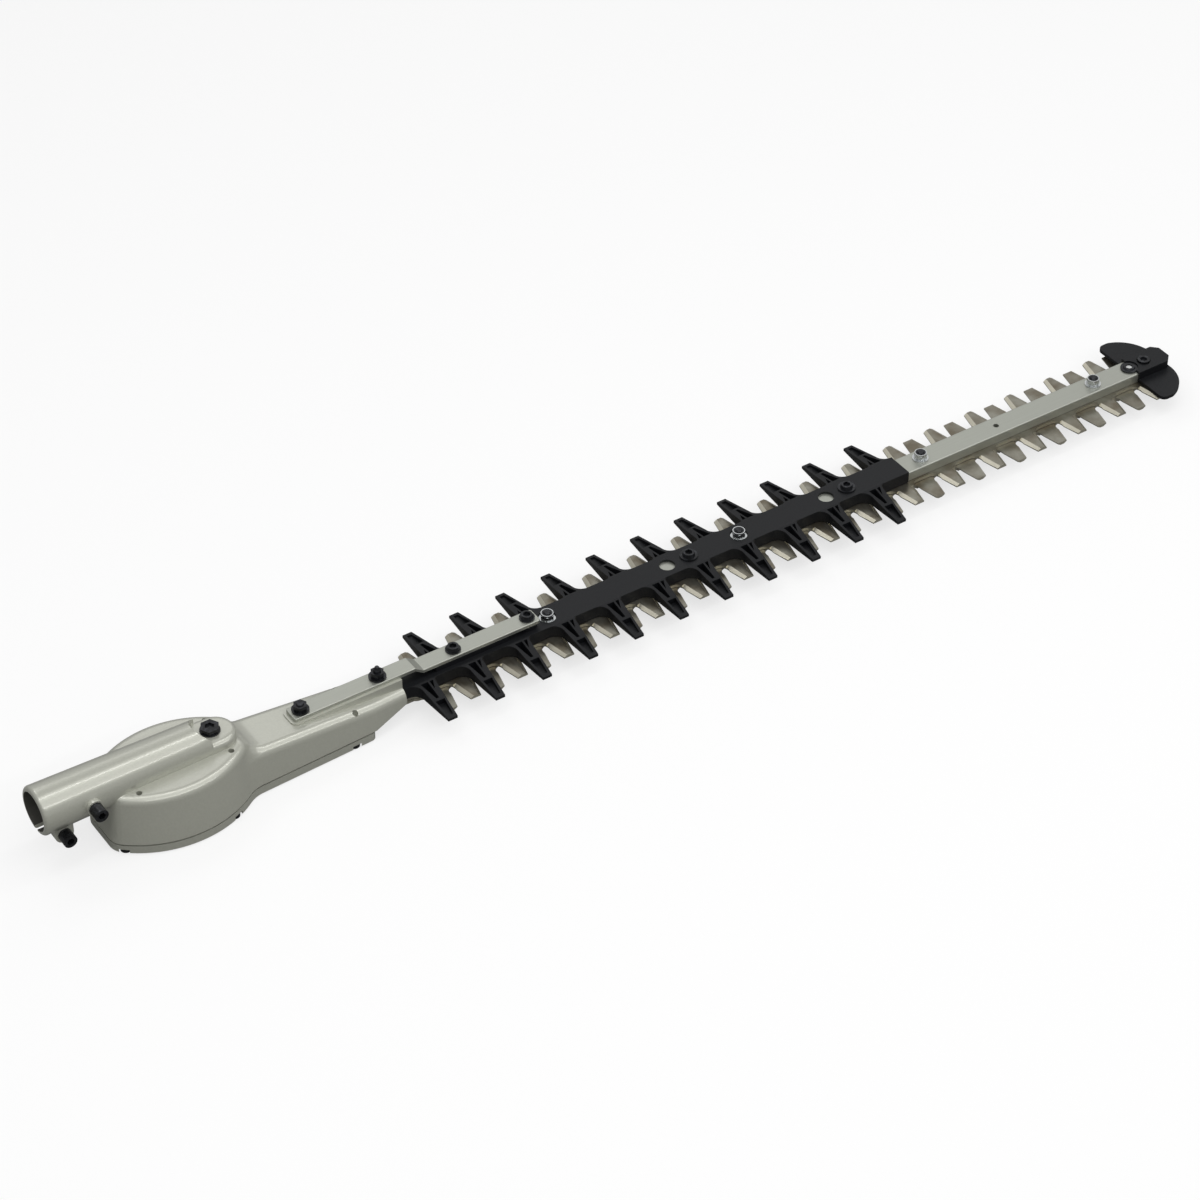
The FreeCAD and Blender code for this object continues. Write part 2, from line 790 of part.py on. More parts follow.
tunnel_half = v.blade_tail_half + v.tunnel_clearance
case_shell = case_block()
crank_bearing_top = v.bearing_width / 2
gear_case = gear_case_outside(case_shell).cut(gear_case_hollows())
vent_bosses = vent_posts(v.vent_boss_radius, v.vent_depth + v.vent_boss_cap, -v.case_roof / 2)
gear_case = gear_case.multiFuse(cover_bosses(case_shell) + vent_bosses).removeSplitter()
gear_case = gear_case.cut(vent_posts(v.vent_radius, v.vent_depth, v.run_gap))
tapped = v.cover_screw_radius + v.thread_gap
gear_case = gear_case.cut(
    cover_screw_holes(tapped, case_bottom - 1, case_bottom + d.cover_screw_grip + v.screw_gap)
)
fixed("gear_case", gear_case)

# Lower cover and gasket, from the outline that the case leaves at its parting plane

foot_faces = [
    face for face in case_shell.Faces
    if all(abs(p.Z - float(case_bottom)) < 1e-6 for p in face.Vertexes)
]
cover_zone = block((-EXTRA, neck_bend_x), (-3 * EXTRA, 3 * EXTRA), (-4 * EXTRA, EXTRA))


def foot_slab(low, high):
    """Slab with the case's foot outline, between two levels."""
    slabs = [extruded(face, float(high) - float(low)) for face in foot_faces]
    slab = slabs[0].multiFuse(slabs[1:]) if len(slabs) > 1 else slabs[0]
    slab.translate(point(0, 0, float(low) - float(case_bottom)))
    return slab.common(cover_zone).removeSplitter()


def foot_inside(margin, low, high):
    """Room inside the foot outline, a margin away from its edge."""
    chamber = Part.Face(chamber_wire(margin, low)).extrude(point(0, 0, float(high) - float(low)))
    tunnel = block((v.crank_x, neck_bend_x + EXTRA), (-tunnel_half, tunnel_half), (low, high))
    return chamber.fuse(tunnel)


def gasket_blank():
    """Foot outline set back from the edge, so that the parting line shows as a groove."""
    inset, level = v.gasket_inset, float(cover_top)
    front, front_half = float(neck_bend_x) - inset, v.neck_bend_half - inset
    root, root_half = float(neck_root_x), v.neck_root_half - inset
    corners = [(root, -root_half), (front, -front_half), (front, front_half), (root, root_half)]
    chamber = extruded(Part.Face(chamber_wire(inset, level)), v.gasket_thickness)
    neck = extruded(outline([point(x, y, level) for x, y in corners]), v.gasket_thickness)
    return chamber.fuse(neck).removeSplitter()


def gasket_shape():
    blank = gasket_blank()
    ring = blank.cut(foot_inside(v.case_wall, cover_top - 1, case_bottom + 1))
    rings = [upright(v.cover_boss_radius, x, y, cover_top, case_bottom) for x, y in cover_screw_spots]
    ring = ring.multiFuse([r.common(blank) for r in rings])
    holes = cover_screw_holes(v.cover_screw_radius + v.screw_gap, cover_top - 1, case_bottom + 1)
    return ring.cut(holes).removeSplitter()


def cover_shape():
    slab = foot_slab(cover_bottom, cover_top)
    front_corners = [
        e for e in slab.Edges
        if all(abs(p.X - float(neck_bend_x)) < 1e-6 for p in e.Vertexes)
        and abs(e.Vertexes[0].Z - e.Vertexes[1].Z) > 1
    ]
    slab = slab.makeFillet(v.cover_corner, front_corners)
    slab = slab.makeChamfer(v.cover_edge, level_edges(slab, cover_bottom))
    notches = [
        upright(v.cover_notch_radius, x, y, cover_bottom - 1, cover_seat) for x, y in cover_screw_spots
    ]
    holes = cover_screw_holes(v.cover_screw_radius + v.screw_gap, cover_bottom - 1, cover_top + 1)
    seat_low = cover_top - d.foot_width
    bearing_seat = upright(v.foot_outer + v.bearing_fit, v.crank_x, 0, seat_low, cover_top + 1)
    return slab.cut(notches + holes + [bearing_seat])


fixed("case_gasket", gasket_shape())
fixed("case_cover", cover_shape())

# Screws of the case

cover_screw = carved(
    "cover_screw",
    joined("cover_screw_blank", [
        cylinder("cover_screw_head", d.cover_head_radius, d.cover_head_height, (0, 0, -d.cover_head_height)),
        cylinder("cover_screw_shank", d.cover_screw_radius,
                 case_bottom - cover_seat + d.cover_screw_grip, (0, 0, 0)),
    ]),
    hexagon("cover_screw_socket", d.cover_screw_radius, d.cover_head_height / 2,
            (0, 0, -d.cover_head_height)),
)
copies("cover_screws", cover_screw, [(x, y, cover_seat) for x, y in cover_screw_spots])


def pole_screw(name, x, level, head_face, shank_end):
    """Socket head screw along Y, its head on the near side."""
    length = d.pole_head_length
    head = cylinder(f"{name}_head", d.pole_head_radius, length, (x, -head_face, level), -Y_AXIS)
    reach = head_face + shank_end
    shank = cylinder(f"{name}_shank", d.pole_screw_radius, reach, (x, -head_face, level), Y_AXIS)
    socket = hexagon(f"{name}_socket", d.pole_screw_radius, length / 2, (x, -head_face - length, level),
                     Y_AXIS)
    return finished(carved(name, joined(f"{name}_blank", [head, shank]), socket), name)


pole_screw("pole_clamp_screw", d.clamp_x, -d.clamp_drop, d.clamp_lug_half, d.clamp_lug_half)
pole_screw("pole_locating_screw", d.locator_x, 0, d.locator_boss_reach, -d.pole_radius - d.run_gap)

plug_top = d.plug_seat + d.plug_flange_height + d.plug_head_height
plug = joined("filler_plug_blank", [
    cylinder("plug_thread", d.plug_thread_radius, d.plug_thread_length,
             (plug_x, 0, d.plug_seat - d.plug_thread_length)),
    cylinder("plug_flange", d.plug_flange_radius, d.plug_flange_height, (plug_x, 0, d.plug_seat)),
    hexagon("plug_hexagon", d.plug_corner_radius, d.plug_head_height,
            (plug_x, 0, d.plug_seat + d.plug_flange_height)),
])
plug_socket = hexagon("plug_socket", d.plug_corner_radius / 2, d.plug_head_height / 2,
                      (plug_x, 0, plug_top - d.plug_head_height / 2))
finished(carved("filler_plug", plug, plug_socket), "filler_plug")

# Guide bar: a flat bar with rounded top edges and the holes of all that is bolted to it

def guide_bar():
    body = doc.addObject("PartDesign::Body", "guide_bar_blank")
    half = d.bar_width / 2
    sketch = sketch_on(body, "bar_plan", "XY_Plane")
    bound_profile(sketch, [(bar_rear, -half), (bar_end, -half), (bar_end, half), (bar_rear, half)])
    bar = body.newObject("PartDesign::Pad", "bar_length")
    bar.Profile = sketch
    bind(bar, Length=d.bar_height)
    doc.recompute()
    top_edges = [
        f"Edge{i}" for i, e in enumerate(bar.Shape.Edges, start=1)
        if e.Length > v.bar_width + 1 and abs(e.Vertexes[0].Z - v.bar_height) < 1e-6
    ]
    rounded = body.newObject("PartDesign::Fillet", "bar_edges")
    rounded.Base = (bar, top_edges)
    bind(rounded, Radius=d.bar_edge)
    doc.recompute()
    drilled(body, "bolt_holes", bolt_spots, d.bolt_radius + d.thread_gap)
    screw_spots = plate_screw_spots + guard_screw_spots + [tip_rear_screw_x, tip_front_screw_x]
    drilled(body, "screw_holes", screw_spots, d.bolt_radius + d.thread_gap)
    drilled(body, "stud_holes", stud_spots, d.stud_radius + d.thread_gap)
    drilled(body, "sight_hole", [bar_hole_x], d.bar_hole_radius)
    placed(body, (0, 0, bar_bottom))
    sinks = joined("stud_sinks", [
        cone(f"stud_sink_{i}", d.stud_head_radius + d.screw_gap, d.stud_radius + d.thread_gap,
             d.stud_head_height + d.screw_gap, (spot, 0, bar_bottom))
        for i, spot in enumerate(stud_spots)
    ])
    return finished(carved("guide_bar", body, sinks), "guide_bar")


guide_bar()

# Support plate with its studs, nuts and screws

def on_plate_brim(edge):
    """Whether an edge runs along the outside of the plate's upper face."""
    middle = edge.valueAt((edge.FirstParameter + edge.LastParameter) / 2)
    share = (middle.x - float(joggle_rear)) / v.plate_joggle_run
    level = float(plate_top) - v.plate_joggle * min(max(share, 0.0), 1.0)
    inner_bend = abs(middle.y) < 1e-6 and float(plate_rear) + 1 < middle.x < float(plate_end) - 1
    return abs(middle.z - level) < 1e-6 and not inner_bend


def support_plate():
    body = doc.addObject("PartDesign::Body", "support_plate")
    sketch = sketch_on(body, "plate_side", "XZ_Plane")
    bound_profile(sketch, [
        (plate_rear, plate_seat), (joggle_rear, plate_seat), (joggle_front, plate_low_seat),
        (plate_end, plate_low_seat), (plate_end, plate_low_top), (joggle_front, plate_low_top),
        (joggle_rear, plate_top), (plate_rear, plate_top),
    ])
    strip = body.newObject("PartDesign::Pad", "plate_strip")
    strip.Profile = sketch
    strip.Midplane = True
    bind(strip, Length=d.plate_width)
    doc.recompute()
    ends = [
        f"Edge{i}" for i, e in enumerate(strip.Shape.Edges, start=1)
        if abs(e.Length - v.plate_thickness) < 1e-6
        and min(abs(e.Vertexes[0].X - float(x)) for x in (plate_rear, plate_end)) < 1e-6
    ]
    corners = body.newObject("PartDesign::Fillet", "plate_corners")
    corners.Base = (strip, ends)
    bind(corners, Radius=d.plate_corner)
    doc.recompute()
    brims = [f"Edge{i}" for i, e in enumerate(corners.Shape.Edges, start=1) if on_plate_brim(e)]
    brim = body.newObject("PartDesign::Fillet", "plate_brim")
    brim.Base = (corners, brims)
    bind(brim, Radius=d.plate_edge)
    doc.recompute()
    drilled(body, "plate_stud_holes", stud_spots, d.stud_radius + d.screw_gap)
    drilled(body, "plate_screw_holes", plate_screw_spots, d.bolt_radius + d.screw_gap)
    return finished(body, "support_plate")


support_plate()


def plate_studs():
    """Countersunk studs from under the bar, the front one pointed and further out of its nut."""
    shapes = []
    base = bar_bottom + d.bar_gap
    rows = [
        ("rear_stud", stud_spots[0], d.rear_stud_tail, d.rear_stud_point),
        ("front_stud", stud_spots[1], d.front_stud_tail, d.front_stud_point),
    ]
    for name, spot, tail, taper in rows:
        length = plate_top - base + d.flange_nut_height + tail - taper
        head = cone(f"{name}_head", d.stud_head_radius, d.stud_radius, d.stud_head_height, (spot, 0, base))
        shank = cylinder(f"{name}_shank", d.stud_radius, length, (spot, 0, base))
        end = cone(f"{name}_end", d.stud_radius, d.stud_radius - taper * d.stud_point_slope, taper,
                   (spot, 0, base + length))
        stud = joined(name, [head, shank, end])
        doc.recompute()
        shapes.append(stud.Shape)
    return fixed("plate_studs", Part.makeCompound(shapes))


plate_studs()

flange_nut = carved(
    "flange_nut",
    joined("flange_nut_blank", [
        cylinder("flange_nut_flange_ring", d.flange_nut_radius, d.flange_nut_flange, (0, 0, 0)),
        hexagon("flange_nut_hexagon", d.flange_nut_corner, d.flange_nut_height, (0, 0, 0)),
    ]),
    cylinder("flange_nut_thread", d.stud_radius + d.thread_gap, d.flange_nut_height, (0, 0, 0)),
)
copies("plate_nuts", flange_nut, [(spot, 0, plate_top) for spot in stud_spots])


def flanged_screw(name, flange_radius, height, grip):
    """Button screw with a flange, standing on zero, its shank reaching down through what it holds."""
    head = cone(f"{name}_head", d.button_radius, d.button_top, height, (0, 0, d.button_flange_height))
    flange = cylinder(f"{name}_flange", flange_radius, d.button_flange_height, (0, 0, 0))
    shank = cylinder(f"{name}_shank", d.bolt_radius, grip, (0, 0, -grip))
    depth = height * d.button_socket_share
    socket = hexagon(f"{name}_socket", d.button_socket, depth,
                     (0, 0, d.button_flange_height + height - depth))
    return carved(name, joined(f"{name}_blank", [head, flange, shank]), socket)


plate_screw = flanged_screw("plate_screw", d.plate_button_flange, d.button_height,
                            plate_low_top - bar_top + d.button_grip)
copies("plate_screws", plate_screw, [(spot, 0, plate_low_top) for spot in plate_screw_spots])
guard_screw = flanged_screw("guard_screw", d.guard_button_flange, d.button_height,
                            d.guard_skin + d.button_grip)
copies("guard_screws", guard_screw, [(spot, 0, spine_top) for spot in guard_screw_spots])

# Blade bolts from below, with bush, washers and lock nut

def ring(name, outer, inner, height):
    outside = cylinder(f"{name}_outside", outer, height, (0, 0, 0))
    inside = cylinder(f"{name}_inside", inner, height, (0, 0, 0))
    return carved(name, outside, inside)


bolt_hole = d.bolt_radius + d.thread_gap
washer_bottom = bush_bottom - d.bolt_washer_thickness
copies("blade_bushes", ring("bush", d.bush_radius, bolt_hole, bar_bottom - bush_bottom),
       [(spot, 0, bush_bottom) for spot in bolt_spots])
copies("blade_washers", ring("bolt_washer", d.bolt_washer_radius, bolt_hole, d.bolt_washer_thickness),
       [(spot, 0, washer_bottom) for spot in bolt_spots])
copies("nut_washers", ring("nut_washer", d.nut_washer_radius, bolt_hole, d.nut_washer_thickness),
       [(spot, 0, bar_top) for spot in bolt_spots])

rim_height = d.nut_height + d.nut_collar_height
bolt_reach = bar_top - washer_bottom + d.nut_washer_thickness + rim_height + d.bolt_tail - d.bolt_point
blade_bolt = joined("blade_bolt", [
    hexagon("blade_bolt_head", d.bolt_head_radius, d.bolt_head_height, (0, 0, -d.bolt_head_height)),
    cylinder("blade_bolt_shank", d.bolt_radius, bolt_reach, (0, 0, 0)),
    cone("blade_bolt_end", d.bolt_radius, d.bolt_radius - d.bolt_point, d.bolt_point, (0, 0, bolt_reach)),
])
copies("blade_bolts", blade_bolt, [(spot, 0, washer_bottom) for spot in bolt_spots])
nut = carved(
    "lock_nut",
    joined("lock_nut_blank", [
        hexagon("lock_nut_hexagon", d.nut_corner_radius, d.nut_height, (0, 0, 0)),
        cylinder("lock_nut_collar", d.nut_collar_radius, rim_height, (0, 0, 0)),
    ]),
    joined("lock_nut_hollow", [
        cylinder("lock_nut_thread", bolt_hole, rim_height, (0, 0, 0)),
        cylinder("lock_nut_pocket", d.insert_outer, d.nut_collar_height, (0, 0, d.nut_height)),
    ]),
)
nut_bottom = bar_top + d.nut_washer_thickness
copies("blade_nuts", nut, [(spot, 0, nut_bottom) for spot in bolt_spots])
copies("nut_inserts", ring("nut_insert", d.insert_outer, bolt_hole, d.nut_collar_height - d.insert_recess),
       [(spot, 0, nut_bottom + d.nut_height) for spot in bolt_spots])

# Teeth: one outline for blades and guard, from a foot on the web over the tip and back

def tooth_edges(x, side, shape, level):
    """Edges of a tooth, with a round where each flank meets the web. side is the sign of Y."""
    lean = math.atan2(shape.root_half - shape.tip_half, shape.reach - shape.web)
    flanks = []
    for hand, radius in ((-1, shape.left_round), (1, shape.right_round)):
        centre_w = shape.web + radius
        half = shape.tip_half + (shape.reach - centre_w) * math.tan(lean)
        centre_u = half + radius / math.cos(lean)
        turn = (math.pi / 2 + lean) / 2
        turns = (0, turn, 2 * turn)
        spots = [(centre_u - radius * math.sin(a), centre_w - radius * math.cos(a)) for a in turns]
        flanks.append([point(x + hand * u, side * w, level) for u, w in spots])
    tips = [point(x + hand * shape.tip_half, side * shape.reach, level) for hand in (-1, 1)]
    left, right = flanks
    return [
        Part.Arc(*left).toShape(),
        Part.makeLine(left[2], tips[0]),
        Part.makeLine(tips[0], tips[1]),
        Part.makeLine(tips[1], right[2]),
        Part.Arc(*right[::-1]).toShape(),
    ]


def end_points(edges):
    return edges[0].valueAt(edges[0].FirstParameter), edges[-1].valueAt(edges[-1].LastParameter)


# Blades

blade_tooth = SimpleNamespace(
    web=v.blade_web_half, reach=v.blade_tooth_reach, tip_half=v.blade_tip_half,
    root_half=v.blade_root_half, left_round=v.blade_gullet_round, right_round=v.blade_gullet_round,
)


def tooth_face(edges, depth, side):
    """Face of one tooth, closed by a foot that goes into the web."""
    first, last = end_points(edges)
    inward = point(0, -side * depth, 0)
    foot = Part.makePolygon([last, last + inward, first + inward, first])
    return Part.Face(Part.Wire(Part.__sortEdges__(edges + foot.Edges)))


def tooth_centres(first, end, root_half):
    """Tooth places from the first one on, as far as whole teeth fit before the end."""
    count = fitting_count(first, float(end) - root_half, v.tooth_pitch)
    return [first + i * v.tooth_pitch for i in range(count)]


def bevel_tools(x, side, face_level, outward):
    """Two wedges that grind the flanks of a tooth, on the face that points outward (+1 up, -1 down)."""
    lean = math.atan2(
        blade_tooth.root_half - blade_tooth.tip_half, blade_tooth.reach - blade_tooth.web
    )
    start = blade_tooth.web + blade_tooth.left_round - v.bevel_run_in
    length = (blade_tooth.reach - start) / math.cos(lean) + 2
    drop = v.bevel_depth / v.bevel_width
    wedges = []
    for hand in (-1, 1):
        half = blade_tooth.tip_half + (blade_tooth.reach - start) * math.tan(lean)
        foot = point(x + hand * half, side * start, face_level)
        away = point(hand * math.cos(lean), side * math.sin(lean), 0)
        along = point(-hand * math.sin(lean), side * math.cos(lean), 0)
        up = point(0, 0, outward)
        corners = [
            foot - away * v.bevel_width,
            foot + away - up * (v.bevel_depth + drop),
            foot + away + up,
            foot - away * v.bevel_width + up,
        ]
        wedges.append(outline(corners).extrude(along * length))
    return wedges


def blade_yoke(low):
    """Frame around an eccentric: a cross slot in a plate with rounded corners."""
    half_x = v.eccentric_radius + v.yoke_slack + v.yoke_wall
    half_y = v.eccentric_radius + stroke + v.run_gap + v.yoke_wall
    height = v.blade_thickness
    frame = block((v.crank_x - half_x, v.crank_x + half_x), (-half_y, half_y), (low, low + height))
    corners = [e for e in frame.Edges if abs(e.Vertexes[0].Z - e.Vertexes[1].Z) > height / 2]
    return frame.makeFillet(v.yoke_corner, corners)


def yoke_slot(low):
    half_x = v.eccentric_radius + v.yoke_slack
    half_y = v.eccentric_radius + stroke + v.run_gap
    height = v.blade_thickness
    slot = block((v.crank_x - half_x, v.crank_x + half_x), (-half_y, half_y), (low - 1, low + height + 1))
    corners = [e for e in slot.Edges if abs(e.Vertexes[0].Z - e.Vertexes[1].Z) > height]
    return slot.makeFillet(v.yoke_corner - v.yoke_wall, corners)


def bolt_slot(x, low):
    """Long hole that lets the blade run past a bush."""
    radius = v.bush_radius + v.run_gap
    travel = stroke + v.run_gap
    ends = [upright(radius, x + hand * travel, 0, low - 1, low + v.blade_thickness + 1) for hand in (-1, 1)]
    middle = block((x - travel, x + travel), (-radius, radius), (low - 1, low + v.blade_thickness + 1))
    return ends[0].multiFuse([ends[1], middle])


def blade_shape(low, near_first, far_first, outward):
    """Blade with teeth on both sides, ground on one face, with a tail and a yoke at the crank."""
    thickness = v.blade_thickness
    first_tooth = min(near_first, far_first)
    web_start = first_tooth - v.tooth_pitch / 2
    web = block((web_start, blade_end), (-v.blade_web_half, v.blade_web_half), (low, low + thickness))
    rounded_ends = [e for e in web.Edges if abs(e.Vertexes[0].Z - e.Vertexes[1].Z) > thickness / 2]
    web = web.makeFillet(v.blade_gullet_round, rounded_ends)
    tail = block((v.crank_x, web_start + v.tooth_pitch), (-v.blade_tail_half, v.blade_tail_half),
                 (low, low + thickness))
    face_level = low + thickness if outward > 0 else low
    teeth, wedges = [], []
    for side, first in ((-1, near_first), (1, far_first)):
        for x in tooth_centres(first, blade_end, v.blade_root_half):
            face = tooth_face(tooth_edges(x, side, blade_tooth, low), 1.0, side)
            teeth.append(extruded(face, thickness))
            wedges += bevel_tools(x, side, face_level, outward)
    blank = web.multiFuse([tail, blade_yoke(low)] + teeth).removeSplitter()
    slots = [bolt_slot(float(spot), low) for spot in bolt_spots]
    return blank.cut(wedges + slots + [yoke_slot(low)])


half_pitch = v.tooth_pitch / 2
tooth_starts = (blade_tooth_first, blade_tooth_first + half_pitch)
fixed("upper_blade", blade_shape(float(upper_bottom), tooth_starts[1], tooth_starts[0], 1))
fixed("lower_blade", blade_shape(float(lower_bottom), tooth_starts[0], tooth_starts[1], -1))

# Tooth guard: a channel over the bar with hollow teeth that slope down to their tips

def guard_tooth_shape(side):
    """The wide round is on the trailing side of the near teeth and the leading side of the far ones."""
    rounds = (v.guard_wide_round, v.guard_tight_round)
    left, right = rounds if side < 0 else rounds[::-1]
    return SimpleNamespace(
        web=v.guard_half, reach=v.guard_tooth_reach, tip_half=v.guard_tip_half,
        root_half=v.guard_root_half, left_round=left, right_round=right,
    )


def guard_slope_tool(side):
    """Wedge that takes the teeth's tops down from the spine to their tips."""
    low_tip = float(skirt_bottom) + v.guard_tip_height
    high = float(spine_top)
    corners = [(v.guard_half, high), (v.guard_tooth_reach, low_tip), (v.guard_tooth_reach + 1, low_tip),
               (v.guard_tooth_reach + 1, high + 1), (v.guard_half, high + 1)]
    profile = outline([point(guard_rear, side * w, z) for w, z in corners])
    return profile.extrude(point(d.guard_length, 0, 0))


def guard_half_at(w):
    """Half width of a guard tooth at a distance from the middle."""
    share = (v.guard_tooth_reach - w) / (v.guard_tooth_reach - v.guard_half)
    return v.guard_tip_half + share * (v.guard_root_half - v.guard_tip_half)


def guard_pockets(x, side):
    """Two tapered pockets with a rib between them at the root, and a long one towards the tip."""
    rim, rib, cross = v.guard_rim, v.guard_rib, v.guard_cross_rib
    root = v.guard_half + rim
    inner_end = cross - rib
    root_half = guard_half_at(root) - rim
    inner_half = guard_half_at(inner_end) - 1.6 * rim
    outer_start, outer_end = cross + rib / 2, v.guard_tooth_reach - 2 * rim
    start_half = guard_half_at(outer_start) - rim
    end_half = guard_half_at(outer_end) - 1.5 * rim
    profiles = [
        [(-root_half, root), (rib / 2, root), (rib / 2, inner_end), (-inner_half / 2, inner_end)],
        [(1.5 * rib, root), (root_half, root), (1.5 * rib, (root + inner_end) / 2)],
        [(-start_half, outer_start), (start_half, outer_start), (end_half, outer_end), (-end_half, outer_end)],
    ]
    floor = float(skirt_bottom) + v.guard_pocket_floor
    height = float(spine_top) - floor + 1
    turn = -side
    return [
        extruded(outline([point(x + turn * u, side * w, floor) for u, w in profile]), height)
        for profile in profiles
    ]


def guard_shape():
    low, high = float(skirt_bottom), float(spine_top)
    spine = block((guard_rear, guard_end), (-v.guard_half, v.guard_half), (low, high))
    teeth, tools = [], [guard_slope_tool(-1), guard_slope_tool(1)]
    for side, first in ((-1, guard_tooth_first), (1, guard_tooth_first + half_pitch)):
        for x in tooth_centres(first, guard_end, v.guard_root_half):
            face = tooth_face(tooth_edges(x, side, guard_tooth_shape(side), low), 1.0, side)
            teeth.append(extruded(face, high - low))
            tools += guard_pockets(x, side)
    body = spine.multiFuse(teeth).removeSplitter()
    bar_half = v.bar_width / 2 + v.side_gap
    tools.append(block((guard_rear - 1, guard_end + 1), (-bar_half, bar_half), (low - 1, bar_top)))
    body = body.cut(tools)
    pad_top = float(plate_low_seat)
    pad_rear = joggle_front + d.guard_pad_lead
    pad_end = pad_rear + d.guard_pad_length
    last_screw = float(plate_screw_spots[1])
    pads = [
        block((pad_rear, pad_end), (-v.guard_pad_half, v.guard_pad_half), (bar_top, pad_top)),
        upright(v.guard_pad_half, last_screw, 0, bar_top, pad_top),
    ]
    body = body.multiFuse(pads).removeSplitter()
    hole = v.bolt_radius + v.screw_gap
    holes = [upright(hole, spot, 0, low, pad_top + 1) for spot in plate_screw_spots + guard_screw_spots]
    nut_hole = v.nut_washer_radius + v.run_gap
    holes += [upright(nut_hole, spot, 0, low, high + 1) for spot in guarded_bolts]
    holes += [upright(v.guard_window_radius, x, 0, low, high + 1) for x in guard_window_spots]
    return body.cut(holes)


fixed("blade_guard", guard_shape())

# Tip guard: a cap over the end of the bar with a rounded wing on each side

def tip_wing():
    """Wing on the far side, as a flat plate."""
    rear, reach, corner = float(tip_rear), v.tip_wing_reach, v.tip_wing_corner
    front = float(tip_front) - v.tip_wing_setback
    shoulder = float(tip_front) - v.tip_shoulder_setback
    low = float(skirt_bottom)
    edges = [
        Part.makeLine(point(rear, 0, low), point(rear, reach - corner, low)),
        arc((rear + corner, reach - corner), corner, math.pi, math.pi / 2, low),
        Part.makeLine(point(rear + corner, reach, low), point(rear + 2 * corner, reach, low)),
        Part.Arc(
            point(rear + 2 * corner, reach, low),
            point(shoulder, v.tip_shoulder_half, low),
            point(front, v.tip_wing_front_half, low),
        ).toShape(),
        Part.makeLine(point(front, v.tip_wing_front_half, low), point(front, 0, low)),
        Part.makeLine(point(front, 0, low), point(rear, 0, low)),
    ]
    return extruded(Part.Face(Part.Wire(edges)), v.tip_wing_thickness)


def tip_guard_shape():
    low, high = float(skirt_bottom), float(spine_top)
    half, cut, rear, front = v.guard_half, v.tip_nose_cut, float(tip_rear), float(tip_front)
    corners = [(rear, -half), (front - cut, -half), (front, -half + cut), (front, half - cut),
               (front - cut, half), (rear, half)]
    cap = extruded(outline([point(x, y, low) for x, y in corners]), high - low)
    wing = tip_wing()
    body = cap.multiFuse([wing, mirrored(wing)]).removeSplitter()
    bar_half = v.bar_width / 2 + v.side_gap
    channel = block((rear - 1, bar_end + v.side_gap), (-bar_half, bar_half), (low - 1, bar_top))
    relief = upright(v.guard_button_flange + v.run_gap, tip_rear_screw_x, 0, bar_top, high + 1)
    seat = upright(v.tip_counterbore, tip_front_screw_x, 0, bar_top + d.guard_skin / 2, high + 1)
    hole = upright(v.bolt_radius + v.screw_gap, tip_front_screw_x, 0, low, high + 1)
    return body.cut([channel, relief, seat, hole])


fixed("tip_guard", tip_guard_shape())


def tip_screws():
    rear = flanged_screw("tip_rear_screw", d.guard_button_flange, d.tip_button_height, d.button_grip)
    head = cylinder("tip_front_head", d.button_radius, d.tip_head_height, (0, 0, 0))
    shank = cylinder("tip_front_shank", d.bolt_radius, d.button_grip, (0, 0, -d.button_grip))
    socket = hexagon("tip_front_socket", d.button_socket, d.tip_socket_depth,
                     (0, 0, d.tip_head_height - d.tip_socket_depth))
    front = carved("tip_front_screw", joined("tip_front_blank", [head, shank]), socket)
    doc.recompute()
    shapes = [rear.Shape.copy(), front.Shape.copy()]
    shapes[0].translate(point(tip_rear_screw_x, 0, bar_top))
    shapes[1].translate(point(tip_front_screw_x, 0, bar_top + d.guard_skin / 2))
    return fixed("tip_screws", Part.makeCompound(shapes))


tip_screws()

# Bevel drive: both gears taper to the point where the pole axis crosses the crank axis

TOOTH_DEPTH = 1.25  # root below the pitch cone, in modules
TOOTH_FOOT = 1.6  # how deep each tooth's foot stands in the blank, in modules
PINION_WIDTHS = (1.2, 1.0, 0.4)  # tooth widths at root, pitch cone and tip, as shares of the pitch width
GEAR_WIDTHS = (1.45, 1.0, 0.5)

apex = point(v.crank_x, 0, 0)
pinion_pitch = v.gear_module * v.pinion_teeth / 2
gear_pitch = v.gear_module * v.gear_teeth / 2
cone_length = math.hypot(pinion_pitch, gear_pitch)
shrink = (cone_length - v.gear_face) / cone_length


def bevel_tooth(axis, outward, pitch_angle, widths):
    """Straight tooth that tapers to the apex. widths are at root, pitch circle and tip."""
    along = axis * math.cos(pitch_angle) + outward * math.sin(pitch_angle)
    height = outward * math.cos(pitch_angle) - axis * math.sin(pitch_angle)
    across = axis.cross(outward)
    heights = (-TOOTH_FOOT * v.gear_module, 0.0, v.gear_module)
    wires = []
    for scale in (1.0, shrink):
        middle = apex + along * (cone_length * scale)
        rows = [(middle + height * (h * scale), across * (w * scale / 2)) for h, w in zip(heights, widths)]
        corners = [spot - side for spot, side in rows] + [spot + side for spot, side in rows[::-1]]
        wires.append(Part.makePolygon(corners + corners[:1]))
    return Part.makeLoft(wires, True, True)


def bevel_teeth(axis, start, count, pitch_angle, widths, phase):
    """All teeth of a gear about its axis, the first turned by a phase in tooth pitches."""
    teeth = []
    for i in range(int(count)):
        turn = FreeCAD.Rotation(axis, (i + phase) * 360.0 / count)
        teeth.append(bevel_tooth(axis, turn.multVec(start), pitch_angle, widths))
    return teeth


def cone_frustum(axis, base_radius, top_radius, base_distance, height):
    """Cone body of a gear about its axis, narrowing towards the apex."""
    return Part.makeCone(base_radius, top_radius, height, apex + axis * base_distance, axis * -1)


